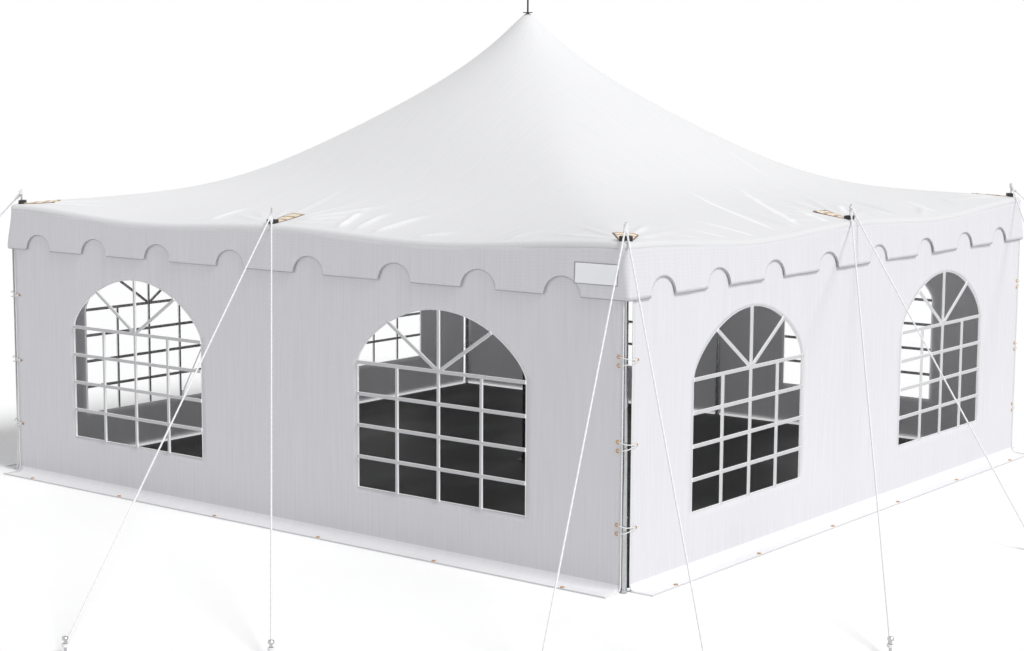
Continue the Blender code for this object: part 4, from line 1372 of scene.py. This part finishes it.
PIN_WHIPPING_FROM, PIN_WRAPS = 0.004, 5
STAKE_WHIPPING_FROM, STAKE_WRAPS = 0.006, 4
ROPE_COLOUR = (0.93, 0.93, 0.94, 1.0)
ROPE_GROOVE_COLOUR = (0.78, 0.78, 0.79, 1.0)

# For each pole, and its opposite one half way round: where its two stakes stand, and how high the two loops
# sit on its pin.
GUY_LINES = (
    ("front_right", "back_left", ((3.78, -4.98), (4.48, -4.39)), (0.100, 0.083)),
    ("front_middle", "back_middle", ((1.35, -6.20), (2.30, -5.50)), (0.064, 0.047)),
    ("right_middle", "left_middle", ((4.95, -3.20), (4.60, -0.30)), (0.064, 0.090)),
    ("back_right", "front_left", ((4.60, 1.40), (5.20, 3.90)), (0.100, 0.083)),
)


def laid_rope(verts, faces, begin, end):
    """Adds three strands laid together between two points, as a lobed section that turns on its way."""
    run = end - begin
    way = run.normalized()
    across = Vector((-way.y, way.x, 0.0)).normalized()
    over = way.cross(across)
    count = math.ceil(run.length / ROPE_STEP)
    first = len(verts)
    for i in range(count + 1):
        twist = 2 * math.pi * run.length * i / count / ROPE_TWIST
        for j in range(ROPE_SIDES):
            angle = 2 * math.pi * j / ROPE_SIDES
            radius = ROPE_RADIUS * (0.80 + 0.20 * abs(math.cos(1.5 * angle)))
            turned_angle = angle + twist / 3
            verts.append(begin + run * (i / count)
                         + (across * math.cos(turned_angle) + over * math.sin(turned_angle)) * radius)
    for i in range(count):
        here, there = first + i * ROPE_SIDES, first + (i + 1) * ROPE_SIDES
        for j in range(ROPE_SIDES):
            beside = (j + 1) % ROPE_SIDES
            faces.append((here + j, here + beside, there + beside, there + j))
    faces.append(tuple(first + j for j in range(ROPE_SIDES))[::-1])
    faces.append(tuple(first + count * ROPE_SIDES + j for j in range(ROPE_SIDES)))


def rope_loops(verts, faces, centre, radius, cord, lifts, steps):
    """Adds turns of the rope laid round an upright pin or stake."""
    for lift in lifts:
        hoop = circle(centre + SKYWARD * lift, EAST, NORTH, radius, steps)
        rod(verts, faces, hoop, cord, closed=True)


def whipping(verts, faces, rope_end, way, inward, start, wraps):
    """Adds turns of thin cord wound round a rope from near its end, inward along its way (1) or back (-1)."""
    across = way.orthogonal().normalized()
    over = way.cross(across)
    for wrap in range(wraps):
        place = rope_end + way * (inward * (start + WHIPPING_PITCH * wrap))
        hoop = circle(place, across, over, WHIPPING_RADIUS, WHIPPING_STEPS)
        rod(verts, faces, hoop, WHIPPING_CORD, 6, closed=True)


rope_finish = twisted_finish("white_rope", ROPE_COLOUR, ROPE_GROOVE_COLOUR, 0.004)
for place_name, opposite, stakes, loop_heights in GUY_LINES:
    for turn, at in ((1, place_name), (-1, opposite)):
        pin_x, pin_y = PINS[at]
        for letter, (stake_x, stake_y), above in zip("ab", stakes, loop_heights):
            pin = Vector((pin_x, pin_y, float(roof_height(pin_x, pin_y)) + above))
            foot = Vector((turn * stake_x, turn * stake_y, STAKE_LOOP_HEIGHT))
            way = (foot - pin).normalized()
            begin, end = pin + way * ROPE_CLEAR, foot - way * ROPE_CLEAR
            verts, faces = [], []
            laid_rope(verts, faces, begin, end)
            rope_loops(verts, faces, pin, **PIN_LOOP)
            whipping(verts, faces, begin, way, 1, PIN_WHIPPING_FROM, PIN_WRAPS)
            rope_loops(verts, faces, foot, **STAKE_LOOP)
            whipping(verts, faces, end, way, -1, STAKE_WHIPPING_FROM, STAKE_WRAPS)
            rope = new_piece(f"rope_{at}_{letter}", verts, faces, rope_finish, smooth_angle=60)
            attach(rope, "root")
            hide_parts(f"guy_line_{at}_{letter}")

            verts, faces = [], []
            rings = [circle(Vector((foot.x, foot.y, height)), EAST, NORTH, radius, STAKE_SIDES)
                     for height, radius in STAKE_PROFILE]
            turned(verts, faces, rings, STAKE_SIDES)
            last = len(verts) - STAKE_SIDES
            faces.append(tuple(range(STAKE_SIDES))[::-1])
            faces.append(tuple(range(last, last + STAKE_SIDES)))
            stake = new_piece(f"stake_{at}_{letter}", verts, faces, steel, smooth_angle=35)
            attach(stake, "root")


# Label patch: a blank white tag with a grey stitched edge, sewn to the front valance by the right corner.
# It follows the strip round the start of the corner.
TAG_LEFT, TAG_RIGHT = 2.652, 2.985
TAG_LOW, TAG_HIGH = 1.962, 2.101
TAG_LIFT = 0.0026
TAG_CLOTH = 0.0012
TAG_ROWS, TAG_COLUMNS = 8, 20
TAG_RIM_ACROSS, TAG_RIM_DOWN = 0.962, 0.915
TAG_COLOUR = (0.93, 0.94, 0.96, 1.0)
TAG_EDGE_COLOUR = (0.34, 0.34, 0.37, 1.0)


def strip_face(along, height):
    """The point of the front valance's face at a true distance along it, and the way out there."""
    radius = corner_radius(height)
    straight = valance_point(0.0, height)[0].y - radius
    angle = max(along - straight, 0.0) / radius
    way = Vector((math.sin(angle), math.cos(angle)))
    return Vector((min(along, straight), straight)) + way * radius, way


tag_finish, nodes, links, shader = new_finish("blank_tag", TAG_COLOUR, 0.5)
tag_across, tag_down = patch_place(nodes, links)
rim = combine(nodes, links, "MAXIMUM", beyond(nodes, links, tag_across, TAG_RIM_ACROSS),
              beyond(nodes, links, tag_down, TAG_RIM_DOWN))
links.new(two_tone(nodes, links, rim, TAG_COLOUR, TAG_EDGE_COLOUR), shader.inputs["Base Color"])
tag_grain = mottle(nodes, links, 60.0)
links.new(spread(nodes, links, tag_grain, 0.42, 0.6), shader.inputs["Roughness"])
relief(nodes, links, shader, tag_grain, 0.0004, 0.4)
verts, across, down = [], [], []
for row in range(TAG_ROWS + 1):
    height = TAG_LOW + (TAG_HIGH - TAG_LOW) * row / TAG_ROWS
    for column in range(TAG_COLUMNS + 1):
        spot, way = strip_face(TAG_LEFT + (TAG_RIGHT - TAG_LEFT) * column / TAG_COLUMNS, height)
        spot = spot + way * TAG_LIFT
        verts.append((spot.x, -spot.y, height))
        across.append(2 * column / TAG_COLUMNS - 1)
        down.append(2 * row / TAG_ROWS - 1)
tag = new_piece("label_patch", verts, grid_faces(TAG_ROWS + 1, TAG_COLUMNS + 1), tag_finish, smooth_angle=60)
map_cloth(tag, np.array(across), np.array(down))
thicken(tag, TAG_CLOTH)
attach(tag, "root")
